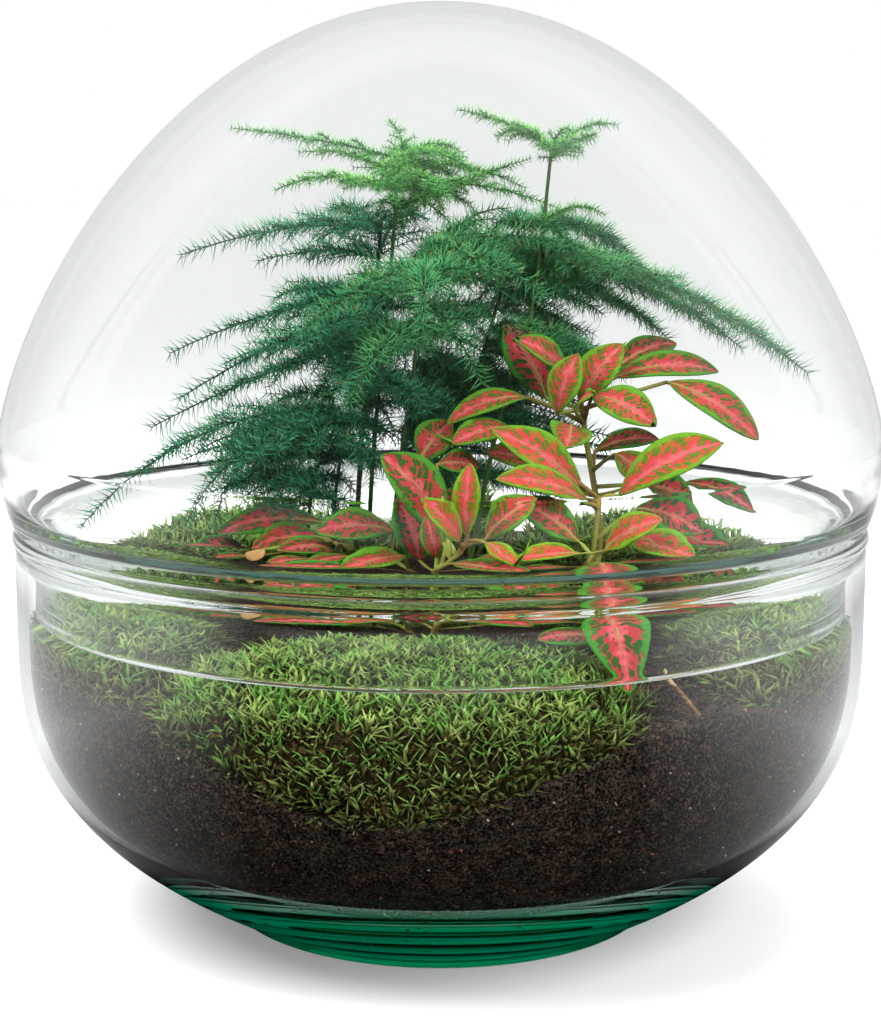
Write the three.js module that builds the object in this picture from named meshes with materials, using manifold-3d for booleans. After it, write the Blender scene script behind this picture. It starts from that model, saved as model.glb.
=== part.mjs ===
// A glass plant terrarium: a bowl of soil and moss under an egg-shaped glass
// dome, planted with a lace fern and a red-netted nerve plant.
// Millimetres, +Z up. The origin is the middle of the bowl's flat base.

import * as THREE from 'three';
import { mergeVertices } from 'three/addons/utils/BufferGeometryUtils.js';
import Module from 'manifold-3d';

const wasm = await Module();
wasm.setup();

// The driving dimensions

const ROUND = 32;
const GAP = 0.3;

const BOWL = { baseR: 58, bellyR: 122, bellyZ: 85, swell: 2.8, wall: 3 };
const RIM = { r: 120.5, z: 112.5, bead: 2.2 };
const FLOOR = { z: 8, thickerFromZ: 42, extra: 5 };
const BOWL_OUTER_LEVELS = [0, 5, 12, 23, 38, 58, 85, 110];
const BOWL_INNER_LEVELS = [FLOOR.z, 10.5, 15, 21, 29, 41, 58, 84, 110];

const DOME = { r: 126, wideZ: 139, apexZ: 261, round: 1.42, wall: 2.8 };
const COLLAR = { r: 116.5, wall: 3.1, bottomZ: 91.2, topZ: 111.5, lip: 2.2 };
const NECK_FLARE = { outside: [125.2, 126], inside: [[116.8, 117.6], [121.8, 124]], topZ: 119 };

const SOIL = { level: 81, slope: 0.05, cell: 16, side: 16, bottomZ: 2 };
const LATTICE_ROW = 0.87;
const MOSS = { cell: 10.2, tuft: 3.6, hollow: -1.2, square: 4, edgeDrop: 2, bottomZ: 52, clear: 0.5 };
const ROOM_TOP_Z = 135;
const ROOT_DEPTH = 14;
const HOLE = { slack: 0.8, sides: 6, long: 80, below: 1 };
const LOWEST_NEEDLE_Z = 107;

const LEAF = { thick: 0.7, cup: 0.16, wave: 0.05, arch: 0.13, stalk: 0.6, smallWidth: 8.2 };
const NERVE_STEM = { r: 1.1, steps: 6, sides: 5 };
const FERN_STEM = { r: 1.0, steps: 9, sides: 4 };
const NEEDLE = { pitch: 4.3, long: 6.5, coreR: 0.7, endR: 0.45, twist: 0.9, forward: 0.66, outward: 0.75 };

// How wide a stretch each piece keeps for itself, so that no needle crosses it
const KEPT_R = { leaf: 1.6, stem: 1, needle: 0.6, clear: 1 };

// Soil shape: rounded rises and the scoop behind the front glass
// x, y: centre; wide, deep: spread; z: height
const SOIL_RISES = [
  { x: 0, y: -5, wide: 50, deep: 50, z: 6 },
  { x: 60, y: -105, wide: 25, deep: 25, z: 4 },
  { x: -85, y: -80, wide: 20, deep: 20, z: 3 },
  { x: -18, y: -120, wide: 35, deep: 24, z: -19 },
];

// Moss cushions: centre, half sizes and the height of the crown
const CUSHIONS = {
  moss_front: { x: -11, y: -90, rx: 61, ry: 44, top: 89, tilt: 0.1, seed: 11 },
  moss_left: { x: -93, y: -34, rx: 29, ry: 49, top: 93, tilt: 0.04, seed: 12 },
  moss_right: { x: 92, y: -38, rx: 28, ry: 46, top: 94, tilt: 0.04, seed: 13 },
  moss_rear_left: { x: -58, y: 58, rx: 46, ry: 40, top: 99, tilt: 0.08, seed: 14 },
  moss_rear_right: { x: 62, y: 54, rx: 43, ry: 41, top: 98, tilt: 0.06, seed: 15 },
  moss_back: { x: 3, y: 98, rx: 18, ry: 22, top: 104, tilt: 0.0, seed: 16 },
};

// Nerve plant: each leafy stem with its leaves.
// foot: where it stands in the soil; stem: the points above
// leaves: [place on the stem from 0 to 1, base, tip, width]
const NERVE_STEMS = {
  nerve_plant_top: {
    foot: [46, -4],
    stem: [[46, -3, 112], [42, -3, 137], [40, -3, 150]],
    leaves: [
      [0.95, [31, 5, 148], [19, 8, 170], 11],
      [1.0, [37, -2, 155], [21, -10, 167], 8],
      [0.95, [33, -12, 146], [39, -12, 163], 8],
      [0.95, [40, -5, 148], [52, -3, 165], 9.5],
      [0.9, [38, -13, 147], [43, -20, 153], 5],
      [0.9, [43, -10, 151], [60, -22, 144], 9.5],
      [1.0, [50, 8, 156], [70, 20, 163], 7.5],
      [1.0, [50, 0, 155], [81, 8, 156], 8],
      [0.95, [65, -2, 154], [91, -8, 138], 9],
      [0.85, [37, -13, 143], [35, -24, 138], 9.5],
      [0.9, [25, -6, 150], [2, -18, 144], 7],
      [0.7, [45, 4, 133], [64, 8, 136], 6],
      [0.72, [50, -8, 134], [59, -13, 126], 8.5],
      [0.62, [60, 3, 123], [74, 5, 116], 10],
      [0.45, [67, 8, 107], [86, 6, 100], 10],
      [0.66, [73, 12, 122], [94, 15, 112], 7],
    ],
  },
  nerve_plant_middle: {
    foot: [44, -33],
    stem: [[42, -34, 105], [44, -30, 124]],
    leaves: [
      [1.0, [40, -26, 125], [14, -30, 144], 10],
      [0.95, [41, -31, 123], [15, -42, 132], 8.5],
      [1.0, [50, -28, 125], [78, -30, 140], 11.5],
      [0.8, [57, -4, 117], [76, -8, 110], 11],
      [0.95, [28, -14, 131], [13, -13, 135], 7],
      [1.0, [20, -14, 142], [3, -24, 139], 7],
    ],
  },
  nerve_plant_front: {
    foot: [34, -52],
    stem: [[38, -51, 98], [41, -48, 111]],
    leaves: [
      [1.0, [38, -49, 112], [19, -57, 110], 6.5],
      [1.0, [44, -48, 113], [59, -55, 123], 8],
      [0.95, [51, -42, 116], [68, -58, 109], 9.5],
      [1.0, [38, -42, 114], [21, -38, 125], 8.5],
      [0.85, [43, -57, 108], [47, -96, 86], 13],
      [0.8, [48, -48, 104], [68, -52, 104], 6.5],
      [0.75, [35, -53, 103], [19, -61, 104], 6],
      [0.4, [42, -66, 94], [25, -72, 95], 9],
    ],
  },
  nerve_plant_left: {
    foot: [-1, -44],
    stem: [[-1, -53, 102], [7, -54, 117]],
    leaves: [
      [1.0, [7, -54, 118], [8, -52, 138], 6],
      [0.95, [5, -55, 117], [-5, -60, 129], 6.5],
      [1.0, [12, -56, 117], [20, -67, 110], 5],
      [0.9, [0, -34, 116], [-16, -38, 138], 14],
      [0.85, [-1, -22, 133], [11, -21, 132], 7],
      [0.85, [-6, -16, 133], [3, -13, 144], 9],
      [0.7, [3, -18, 116], [6, -16, 126], 7],
      [0.6, [-1, -45, 110], [-4, -45, 122], 5],
      [0.75, [3, -56, 109], [24, -67, 102], 9],
      [0.6, [28, -36, 105], [9, -41, 107], 7],
      [0.6, [-6, -26, 104], [-12, -24, 124], 9],
      [0.95, [12, -46, 116], [26, -45, 127], 8.5],
    ],
  },
  nerve_plant_trailing: {
    foot: [-8, -22],
    stem: [[-12, -20, 100], [-24, -14, 106], [-33, -8, 108]],
    leaves: [
      [1.0, [-34, -1, 112], [-66, 8, 107], 8],
      [1.0, [-57, 8, 102], [-76, 12, 101], 5],
      [0.6, [-13, -15, 112], [-35, -20, 113], 9],
      [0.95, [-35, -5, 109], [-55, -6, 105], 7.5],
      [0.9, [-30, -18, 107], [-46, -23, 108], 6],
      [0.8, [-36, -24, 103], [-49, -34, 100], 6],
      [0.6, [-25, -27, 106], [-37, -38, 103], 6],
      [0.4, [-10, -36, 109], [-27, -52, 103], 9.5],
      [0.3, [-17, -46, 101], [-50, -54, 101], 8],
      [1.0, [-55, -10, 100], [-66, -14, 98], 5],
      [0.95, [-50, -20, 108], [-54, -23, 99], 4.5],
    ],
  },
};

// Lace fern: each frond's foot, its wiry stem and its sprays
// sprays: [place on the stem, crest of the arch, tip]
const FRONDS = {
  fern_top: {
    foot: [-22, 18],
    stem: [[-20, 17, 130], [-15, 15, 180], [-12, 15, 217]],
    sprays: [
      [1.0, [-32, 8, 223], [-59, 0, 226]],
      [0.94, [-31, -5, 216], [-45, -20, 209]],
      [0.98, [-9, 20, 223], [-15, 25, 228]],
      [0.9, [9, 18, 212], [26, 20, 217]],
      [0.94, [-20, 2, 211], [-28, -13, 211]],
      [0.96, [-24, 28, 221], [-42, 34, 219]],
    ],
  },
  fern_tall: {
    foot: [8, 18],
    stem: [[17, 14, 140], [27, 12, 176], [32, 10, 220]],
    sprays: [
      [1.0, [18, 8, 229], [5, 5, 231]],
      [1.0, [42, 12, 229], [51, 12, 227]],
      [0.99, [38, 0, 223], [43, -10, 224]],
      [0.98, [36, 18, 221], [41, 25, 220]],
      [0.86, [39, 16, 206], [48, 20, 201]],
    ],
  },
  fern_left_mid: {
    foot: [-26, 26],
    stem: [[-24, 26, 130], [-20, 20, 168], [-17, 7, 200]],
    sprays: [
      [0.98, [-43, 0, 201], [-72, -15, 191]],
      [0.9, [-32, 19, 193], [-54, 26, 187]],
      [0.96, [-23, 28, 206], [-34, 42, 201]],
      [0.9, [-14, 38, 206], [-4, 52, 198]],
    ],
  },
  fern_left: {
    foot: [-32, 14],
    stem: [[-31, 13, 120], [-24, 11, 155], [-16, 10, 181]],
    sprays: [
      [0.98, [-51, 10, 175], [-79, 10, 161]],
      [0.94, [-45, -10, 169], [-72, -26, 152]],
      [0.85, [-56, 6, 155], [-84, 4, 140]],
      [0.97, [-42, 20, 182], [-50, 40, 175]],
      [0.9, [-28, -20, 177], [-38, -38, 167]],
    ],
  },
  fern_low: {
    foot: [-38, 6],
    stem: [[-39, 5, 108], [-36, 5, 130], [-31, 5, 148]],
    sprays: [
      [0.97, [-74, -6, 147], [-103, -20, 113]],
      [0.9, [-60, -15, 141], [-70, -30, 118]],
      [0.86, [-60, 17, 140], [-68, 18, 108]],
      [0.8, [-50, 28, 132], [-64, 36, 116]],
      [0.7, [-45, -4, 130], [-49, -8, 116]],
    ],
  },
  fern_right: {
    foot: [0, 24],
    stem: [[4, 22, 130], [14, 18, 165], [23, 15, 197]],
    sprays: [
      [0.97, [67, 6, 188], [105, -5, 157]],
      [1.0, [44, 28, 204], [61, 33, 183]],
      [0.9, [50, 26, 181], [68, 26, 164]],
      [0.94, [62, 34, 184], [92, 36, 160]],
      [0.86, [38, 38, 168], [50, 46, 144]],
    ],
  },
  fern_centre: {
    foot: [-14, 8],
    stem: [[-13, 7, 120], [-8, 5, 155], [-3, 5, 190]],
    sprays: [
      [0.97, [-22, -28, 186], [-37, -46, 172]],
      [0.88, [4, -22, 173], [11, -32, 157]],
      [0.82, [-16, -34, 172], [-24, -50, 154]],
      [0.96, [-4, -36, 189], [-5, -60, 175]],
      [1.0, [14, -12, 193], [28, -22, 180]],
    ],
  },
  fern_rear: {
    foot: [-12, 34],
    stem: [[-11, 36, 125], [-8, 40, 155], [-6, 42, 178]],
    sprays: [
      [0.98, [-26, 58, 178], [-48, 66, 166]],
      [1.0, [-2, 62, 186], [2, 80, 178]],
      [0.94, [20, 58, 174], [42, 68, 160]],
      [0.86, [-20, 56, 154], [-34, 62, 136]],
      [0.84, [12, 56, 152], [28, 62, 134]],
    ],
  },
};

const TWIG = { root: [68, -91, 74], top: [55, -95, 92], r: 0.8, clear: 0.5 };

// Colours and surfaces

const finish = (color, roughness, opacity = 1) => new THREE.MeshStandardMaterial({
  color, roughness, metalness: 0, opacity, transparent: opacity < 1,
});
const CLEAR_GLASS = finish(0xe6f2ee, 0.03, 0.3);
const GREEN_GLASS = finish(0xbfe3d4, 0.03, 0.35);
const POTTING_SOIL = finish(0x2c2019, 0.95);
const MOSS_GREEN = finish(0x6f8f35, 0.9);
const NERVE_LEAF = finish(0xc65a55, 0.55);
const FERN_GREEN = finish(0x2f7a4c, 0.7);
const YOUNG_GREEN = finish(0x5fb544, 0.7);
const DRY_TAN = finish(0xb08a5a, 0.85);

// Solids from meshes

// A repeatable draw between 0 and 1
function seededDraw(seed) {
  let state = seed;
  return () => {
    state = (state * 1664525 + 1013904223) % 4294967296;
    return state / 4294967296;
  };
}

// Merges shared vertices, drops empty triangles and turns the faces outwards
function closedGeometry(geometry) {
  const bare = geometry.clone();
  bare.deleteAttribute('normal');
  bare.deleteAttribute('uv');
  const merged = mergeVertices(bare, 1e-4);
  const place = merged.attributes.position;
  const corner = [new THREE.Vector3(), new THREE.Vector3(), new THREE.Vector3()];
  const faces = [];
  let volume = 0;
  for (let i = 0; i < merged.index.count; i += 3) {
    const [a, b, c] = [0, 1, 2].map((k) => merged.index.getX(i + k));
    if (a === b || b === c || c === a) continue;
    corner.forEach((v, k) => v.fromBufferAttribute(place, [a, b, c][k]));
    volume += corner[0].dot(corner[1].cross(corner[2]));
    faces.push(a, b, c);
  }
  merged.setIndex(volume < 0 ? faces.reverse() : faces);
  return merged;
}

function solidOf(geometry) {
  const closed = closedGeometry(geometry);
  return new wasm.Manifold(new wasm.Mesh({
    numProp: 3,
    vertProperties: Float32Array.from(closed.attributes.position.array),
    triVerts: Uint32Array.from(closed.index.array),
  }));
}

function geometryOf(solid) {
  const mesh = solid.getMesh();
  const geometry = new THREE.BufferGeometry();
  geometry.setAttribute('position', new THREE.BufferAttribute(mesh.vertProperties, 3));
  geometry.setIndex(new THREE.BufferAttribute(mesh.triVerts, 1));
  geometry.computeVertexNormals();
  return geometry;
}

function meshedGeometry(points, faces) {
  const geometry = new THREE.BufferGeometry();
  geometry.setAttribute('position', new THREE.Float32BufferAttribute(points.flat(), 3));
  geometry.setIndex(faces.flat());
  return geometry;
}

const fused = (solids) => solids.reduce((whole, next) => whole.add(next));

// The largest body that a cut leaves, without its loose scraps
function mainBody(solid) {
  return solid.decompose().reduce((best, body) => (body.volume() > best.volume() ? body : best));
}

// A solid of revolution about Z from [r, z] points
function spun(profile) {
  const outline = profile.map(([r, z]) => new THREE.Vector2(r, z));
  return closedGeometry(new THREE.LatheGeometry(outline, ROUND).rotateX(Math.PI / 2));
}

// A round rod along a list of points
function rod(points, radius, steps, sides = 5) {
  const section = new THREE.Shape();
  section.setFromPoints(Array.from({ length: sides }, (_, k) => {
    const turn = 2 * Math.PI * k / sides;
    return new THREE.Vector2(radius * Math.cos(turn), radius * Math.sin(turn));
  }));
  const path = new THREE.CatmullRomCurve3(points.map((p) => new THREE.Vector3(...p)));
  return new THREE.ExtrudeGeometry(section, { steps, bevelEnabled: false, extrudePath: path });
}

// Glass bowl and dome

function bowlOuterR(z) {
  const rise = 1 - Math.min(z, BOWL.bellyZ) / BOWL.bellyZ;
  return BOWL.baseR + (BOWL.bellyR - BOWL.baseR) * (1 - rise ** BOWL.swell);
}

// Inside the bowl the wall is even in its upper part and grows thicker towards the floor
function bowlInnerR(z) {
  const lean = (bowlOuterR(z + 1) - bowlOuterR(z - 1)) / 2;
  const share = Math.max(FLOOR.thickerFromZ - z, 0) / (FLOOR.thickerFromZ - FLOOR.z);
  return bowlOuterR(z) - BOWL.wall * Math.hypot(1, lean) - FLOOR.extra * share ** 2;
}

function bowlShape() {
  const outside = BOWL_OUTER_LEVELS.map((z) => [bowlOuterR(z), z]);
  const bead = [-20, 40, 90, 140, 200].map((degrees) => {
    const turn = THREE.MathUtils.degToRad(degrees);
    return [RIM.r + RIM.bead * Math.cos(turn), RIM.z + RIM.bead * Math.sin(turn)];
  });
  const inside = BOWL_INNER_LEVELS.map((z) => [bowlInnerR(z), z]).reverse();
  return spun([[0, 0], ...outside, ...bead, ...inside, [0, FLOOR.z]]);
}

// The dome's egg curve at one of its two surfaces: inset is 0 outside, the wall inside
function eggPoints(inset, steps) {
  return Array.from({ length: steps + 1 }, (_, k) => {
    const turn = (Math.PI / 2) * (k / steps);
    const height = Math.cos(turn) ** (2 / DOME.round);
    return [
      (DOME.r - inset) * Math.sin(turn),
      DOME.wideZ + (DOME.apexZ - inset - DOME.wideZ) * (k === steps ? 0 : height),
    ];
  });
}

function domeShape() {
  const seatZ = RIM.z + RIM.bead + GAP;
  const seat = [[RIM.r + 1.9, seatZ + 1.4], [RIM.r, seatZ], [RIM.r - 2.1, seatZ - 0.4]];
  const lipZ = COLLAR.bottomZ + COLLAR.lip;
  const innerR = COLLAR.r - COLLAR.wall;
  return spun([
    ...eggPoints(0, 7), NECK_FLARE.outside, ...seat,
    [COLLAR.r, COLLAR.topZ], [COLLAR.r, lipZ],
    [COLLAR.r - COLLAR.wall / 2, COLLAR.bottomZ],
    [innerR, lipZ], [innerR, COLLAR.topZ + 0.5], ...NECK_FLARE.inside,
    ...eggPoints(DOME.wall, 6).reverse(),
  ]);
}

// What fits inside the glass, clear of the wall and of the dome's collar
function roomInside(clearance) {
  const wall = BOWL_INNER_LEVELS.slice(0, -1).map((z) => [bowlInnerR(z), z]);
  const floor = [0, FLOOR.z];
  const line = [floor, ...wall];
  const inset = line.slice(1).map(([r, z], k) => {
    const before = line[k];
    const after = line[Math.min(k + 2, line.length - 1)];
    const run = new THREE.Vector2(after[0] - before[0], after[1] - before[1]).normalize();
    return [r - clearance * run.y, z + clearance * run.x];
  });
  const collarR = COLLAR.r - COLLAR.wall - clearance;
  const underCollar = COLLAR.bottomZ - 1;
  return solidOf(spun([
    [0, FLOOR.z + clearance], ...inset,
    [bowlInnerR(underCollar) - clearance, underCollar],
    [collarR, underCollar], [collarR, ROOM_TOP_Z], [0, ROOM_TOP_Z],
  ]));
}

// Soil and moss

function soilHeight(x, y) {
  const rises = SOIL_RISES.map((rise) => {
    const across = (x - rise.x) ** 2 / (2 * rise.wide ** 2);
    const along = (y - rise.y) ** 2 / (2 * rise.deep ** 2);
    return rise.z * Math.exp(-across - along);
  });
  return SOIL.level + SOIL.slope * y + rises.reduce((sum, z) => sum + z, 0);
}

// A block under a height field, on a lattice whose odd rows are shifted by half a cell
function fieldSolid({ x, y, cell, columns, rows, bottom, heightAt }) {
  const spots = [];
  for (let j = 0; j <= rows; j += 1) {
    for (let i = 0; i <= columns; i += 1) {
      spots.push([x + cell * (i + (j % 2) / 2), y + cell * j * LATTICE_ROW, i, j]);
    }
  }
  const top = spots.map(([px, py, i, j]) => [px, py, heightAt(px, py, i, j)]);
  const under = spots.map(([px, py]) => [px, py, bottom]);
  const faces = [];
  const at = (i, j) => j * (columns + 1) + i;
  for (let j = 0; j < rows; j += 1) {
    for (let i = 0; i < columns; i += 1) {
      const [a, b, c, d] = [at(i, j), at(i + 1, j), at(i, j + 1), at(i + 1, j + 1)];
      const pair = j % 2 ? [[a, b, d], [a, d, c]] : [[a, b, c], [b, d, c]];
      pair.forEach((face) => {
        faces.push(face, face.map((k) => k + spots.length).reverse());
      });
    }
  }
  const edge = [
    ...Array.from({ length: columns }, (_, i) => at(i, 0)),
    ...Array.from({ length: rows }, (_, j) => at(columns, j)),
    ...Array.from({ length: columns }, (_, i) => at(columns - i, rows)),
    ...Array.from({ length: rows }, (_, j) => at(0, rows - j)),
  ];
  edge.forEach((a, k) => {
    const b = edge[(k + 1) % edge.length];
    faces.push([b, a, a + spots.length], [b, a + spots.length, b + spots.length]);
  });
  return solidOf(meshedGeometry([...top, ...under], faces));
}

// A plain round hole for a stem that stands in the soil
function stemHole([x, y], stemR) {
  const r = (stemR + HOLE.slack) / Math.cos(Math.PI / HOLE.sides);
  const hole = new THREE.CylinderGeometry(r, r, HOLE.long, HOLE.sides).rotateX(Math.PI / 2);
  const bottom = soilHeight(x, y) - ROOT_DEPTH - HOLE.below;
  return solidOf(hole.translate(x, y, bottom + HOLE.long / 2));
}

function soilBlock() {
  const half = SOIL.cell * SOIL.side / 2;
  return fieldSolid({
    x: -half - SOIL.cell / 2, y: -half, cell: SOIL.cell, columns: SOIL.side + 1,
    rows: Math.ceil(SOIL.side / LATTICE_ROW), bottom: SOIL.bottomZ, heightAt: soilHeight,
  });
}

function mossBlock(cushion) {
  const draw = seededDraw(cushion.seed);
  return fieldSolid({
    x: cushion.x - cushion.rx - MOSS.cell,
    y: cushion.y - cushion.ry - MOSS.cell,
    cell: MOSS.cell,
    columns: Math.ceil(2 * cushion.rx / MOSS.cell) + 2,
    rows: Math.ceil(2 * cushion.ry / (MOSS.cell * LATTICE_ROW)) + 2,
    bottom: MOSS.bottomZ,
    heightAt: (x, y, i, j) => {
      const reach = Math.hypot((x - cushion.x) / cushion.rx, (y - cushion.y) / cushion.ry);
      const ground = soilHeight(x, y);
      const tuft = (i + 2 * (j % 3) + (j % 2)) % 3 ? MOSS.hollow * draw() : MOSS.tuft * draw();
      if (reach >= 1) return ground - MOSS.edgeDrop;
      const crown = cushion.top + cushion.tilt * (y - cushion.y);
      return ground + (crown - ground) * Math.sqrt(1 - reach ** MOSS.square) + tuft;
    },
  });
}

// A plant's own line, from its root in the soil to its top
function plantPath({ foot, stem }) {
  const ground = soilHeight(...foot);
  return [[...foot, ground - ROOT_DEPTH], [...foot, ground + 2], ...stem];
}

// Turns a place from 0 to 1 along a rod of so many steps into a point on it
function placesOn(points, steps) {
  const path = new THREE.CatmullRomCurve3(points.map((p) => new THREE.Vector3(...p)));
  const spots = path.getSpacedPoints(steps);
  return (place) => {
    const k = Math.min(Math.floor(place * steps), steps - 1);
    return spots[k].clone().lerp(spots[k + 1], place * steps - k);
  };
}

// Leaves of the nerve plant

const LEAF_STATIONS = [[0.16, 0.6], [0.4, 1], [0.66, 0.86], [0.87, 0.44]];
const SMALL_LEAF_STATIONS = [[0.22, 0.8], [0.55, 1], [0.83, 0.55]];

// The rows of points of one leaf: its stalk from the stem, then an arched blade
// whose midrib is sunk and whose margins wave
function leafRows(from, base, tip, width, draw) {
  const start = new THREE.Vector3(...base);
  const along = new THREE.Vector3(...tip).sub(start);
  const heading = along.clone().normalize();
  const facing = new THREE.Vector3(0.5 * draw() - 0.25, -0.6, 0.75);
  const normal = facing.addScaledVector(heading, -facing.dot(heading)).normalize();
  const side = heading.clone().cross(normal);
  const spot = (s, across, lift) => start.clone().addScaledVector(along, s)
    .addScaledVector(side, across)
    .addScaledVector(normal, LEAF.arch * along.length() * 4 * s * (1 - s) + lift);
  const stalkSide = start.clone().sub(from).cross(normal).normalize();
  const crossRow = (at, across) => [-1, 1].map((sign) => (
    at.clone().addScaledVector(across, sign * LEAF.stalk)));
  const rows = [
    crossRow(from, stalkSide),
    crossRow(start, stalkSide.clone().add(side).normalize()),
  ];
  const stations = width < LEAF.smallWidth ? SMALL_LEAF_STATIONS : LEAF_STATIONS;
  stations.forEach(([s, share], k) => {
    const half = share * width / 2;
    const cup = LEAF.cup * half;
    const ripple = LEAF.wave * width * (k % 2 ? 1 : -1) * (0.5 + draw());
    rows.push([spot(s, -half, cup + ripple), spot(s, 0, 0), spot(s, half, cup - ripple)]);
  });
  rows.push([spot(1, 0, 0)]);
  return { rows, normal };
}

// The triangles between two neighbouring rows of 1, 2 or 3 points
function rowFaces(low, high) {
  const faces = [];
  const steps = Math.max(low.length, high.length) - 1;
  for (let k = 0; k < steps; k += 1) {
    const [a, b] = [low[Math.min(k, low.length - 1)], low[Math.min(k + 1, low.length - 1)]];
    const [c, d] = [high[Math.min(k, high.length - 1)], high[Math.min(k + 1, high.length - 1)]];
    if (c !== d) faces.push([a, d, c]);
    if (a !== b) faces.push([a, b, d]);
  }
  return faces;
}

function leafSolid({ rows, normal }) {
  const spots = rows.flat();
  const lifted = (share) => spots.map((p) => (
    p.clone().addScaledVector(normal, share * LEAF.thick).toArray()));
  let first = 0;
  const numbered = rows.map((row) => {
    first += row.length;
    return row.map((_, k) => first - row.length + k);
  });
  const sheet = numbered.slice(1).flatMap((row, k) => rowFaces(numbered[k], row));
  const under = (face) => face.map((k) => k + spots.length).reverse();
  const left = numbered.map((row) => row[0]);
  const right = numbered.slice(0, -1).map((row) => row.at(-1)).reverse();
  const edge = [...left, ...right];
  const rim = edge.flatMap((a, k) => {
    const b = edge[(k + 1) % edge.length];
    return [[a, b, b + spots.length], [a, b + spots.length, a + spots.length]];
  });
  const faces = [...sheet, ...sheet.map(under), ...rim];
  return solidOf(meshedGeometry([...lifted(0.5), ...lifted(-0.5)], faces));
}

function leafyStem({ foot, stem, leaves }, seed) {
  const draw = seededDraw(seed);
  const path = plantPath({ foot, stem });
  const onStem = placesOn(path, NERVE_STEM.steps);
  const blades = leaves.map(([place, base, tip, width]) => (
    leafRows(onStem(place), base, tip, width, draw)));
  const body = solidOf(rod(path, NERVE_STEM.r, NERVE_STEM.steps, NERVE_STEM.sides));
  return { solid: fused([body, ...blades.map(leafSolid)]), blades };
}

// Sprays of the fern

// The frames along a curve, turned as little as possible from one to the next
function framesAlong(curve, count) {
  const frames = [];
  let side = new THREE.Vector3(0.31, 0.2, 0.93);
  for (let k = 0; k <= count; k += 1) {
    const ahead = curve.getTangentAt(k / count);
    side = side.clone().addScaledVector(ahead, -side.dot(ahead)).normalize();
    frames.push({ at: curve.getPointAt(k / count), ahead, side, up: ahead.clone().cross(side) });
  }
  return frames;
}

// A slim three-sided core with two of its three faces drawn out into needles at
// every step. isClear says whether a needle has room; if not, its face stays flat
function needleSpray(curve, draw, isClear) {
  const count = Math.max(4, Math.round(curve.getLength() / NEEDLE.pitch));
  const frames = framesAlong(curve, count);
  const points = [];
  frames.forEach(({ at, side, up }, k) => {
    const radius = THREE.MathUtils.lerp(NEEDLE.coreR, NEEDLE.endR, k / count);
    for (let i = 0; i < 3; i += 1) {
      const turn = 2 * Math.PI * i / 3 + NEEDLE.twist * k;
      const spot = at.clone().addScaledVector(side, radius * Math.cos(turn))
        .addScaledVector(up, radius * Math.sin(turn));
      points.push(spot.toArray());
    }
  });
  const faces = [[0, 1, 2]];
  const needles = [];
  for (let k = 0; k < count; k += 1) {
    const { at, ahead, side, up } = frames[k];
    for (let i = 0; i < 3; i += 1) {
      const j = (i + 1) % 3;
      const ring = [3 * k + i, 3 * k + j, 3 * k + 3 + j, 3 * k + 3 + i];
      const turn = 2 * Math.PI * (i + 0.5) / 3 + NEEDLE.twist * (k + 0.5) + 0.5 * (draw() - 0.5);
      const long = NEEDLE.long * (0.8 + 0.25 * draw()) * (k > count - 3 ? 0.75 : 1);
      const apex = at.clone()
        .addScaledVector(ahead, NEEDLE.pitch / 2 + NEEDLE.forward * long)
        .addScaledVector(side, NEEDLE.outward * long * Math.cos(turn))
        .addScaledVector(up, NEEDLE.outward * long * Math.sin(turn));
      if (i === k % 3 || !isClear(at, apex)) {
        faces.push([ring[0], ring[2], ring[1]], [ring[0], ring[3], ring[2]]);
        continue;
      }
      needles.push([at, apex]);
      points.push(apex.toArray());
      const top = points.length - 1;
      ring.forEach((a, n) => faces.push([a, top, ring[(n + 1) % 4]]));
    }
  }
  const end = 3 * count;
  const last = frames[count];
  points.push(last.at.clone().addScaledVector(last.ahead, 0.8 * NEEDLE.long).toArray());
  const nose = points.length - 1;
  for (let i = 0; i < 3; i += 1) faces.push([end + i, nose, end + (i + 1) % 3]);
  return { solid: solidOf(meshedGeometry(points, faces)), needles };
}

// The straight stretches that the pieces of one plant take up, for keeping others clear
function stretchesOf(curve, count) {
  const spots = curve.getSpacedPoints(count);
  return spots.slice(1).map((to, k) => new THREE.Line3(spots[k], to));
}

function leafStretches({ rows }) {
  const ribs = rows.slice(2, -1).map(([left, , right]) => new THREE.Line3(left, right));
  const [from, base, tip] = [rows[0][0], rows[1][0], rows.at(-1)[0]];
  return [...ribs, new THREE.Line3(from, base), new THREE.Line3(base, tip)];
}

function domeInnerR(z) {
  const u = Math.max(0, z - DOME.wideZ) / (DOME.apexZ - DOME.wall - DOME.wideZ);
  return (DOME.r - DOME.wall) * Math.sqrt(Math.max(0, 1 - u ** DOME.round));
}

// Whether a needle from at to apex stays inside the glass and off other pieces
function needleFits(at, apex, others) {
  const glassR = apex.z < NECK_FLARE.topZ ? COLLAR.r - COLLAR.wall : domeInnerR(apex.z);
  if (Math.hypot(apex.x, apex.y) > glassR - KEPT_R.clear) return false;
  if (apex.z < LOWEST_NEEDLE_Z) return false;
  const nearest = new THREE.Vector3();
  return [0.25, 0.5, 0.75, 1].every((share) => {
    const spot = at.clone().lerp(apex, share);
    return others.every((stretch) => {
      stretch.line.closestPointToPoint(spot, true, nearest);
      return nearest.distanceTo(spot) > stretch.r + KEPT_R.clear;
    });
  });
}

function sprayCurves({ foot, stem, sprays }) {
  const onStem = placesOn(plantPath({ foot, stem }), FERN_STEM.steps);
  return sprays.map(([place, crest, tip]) => new THREE.QuadraticBezierCurve3(
    onStem(place), new THREE.Vector3(...crest), new THREE.Vector3(...tip),
  ));
}

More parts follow.
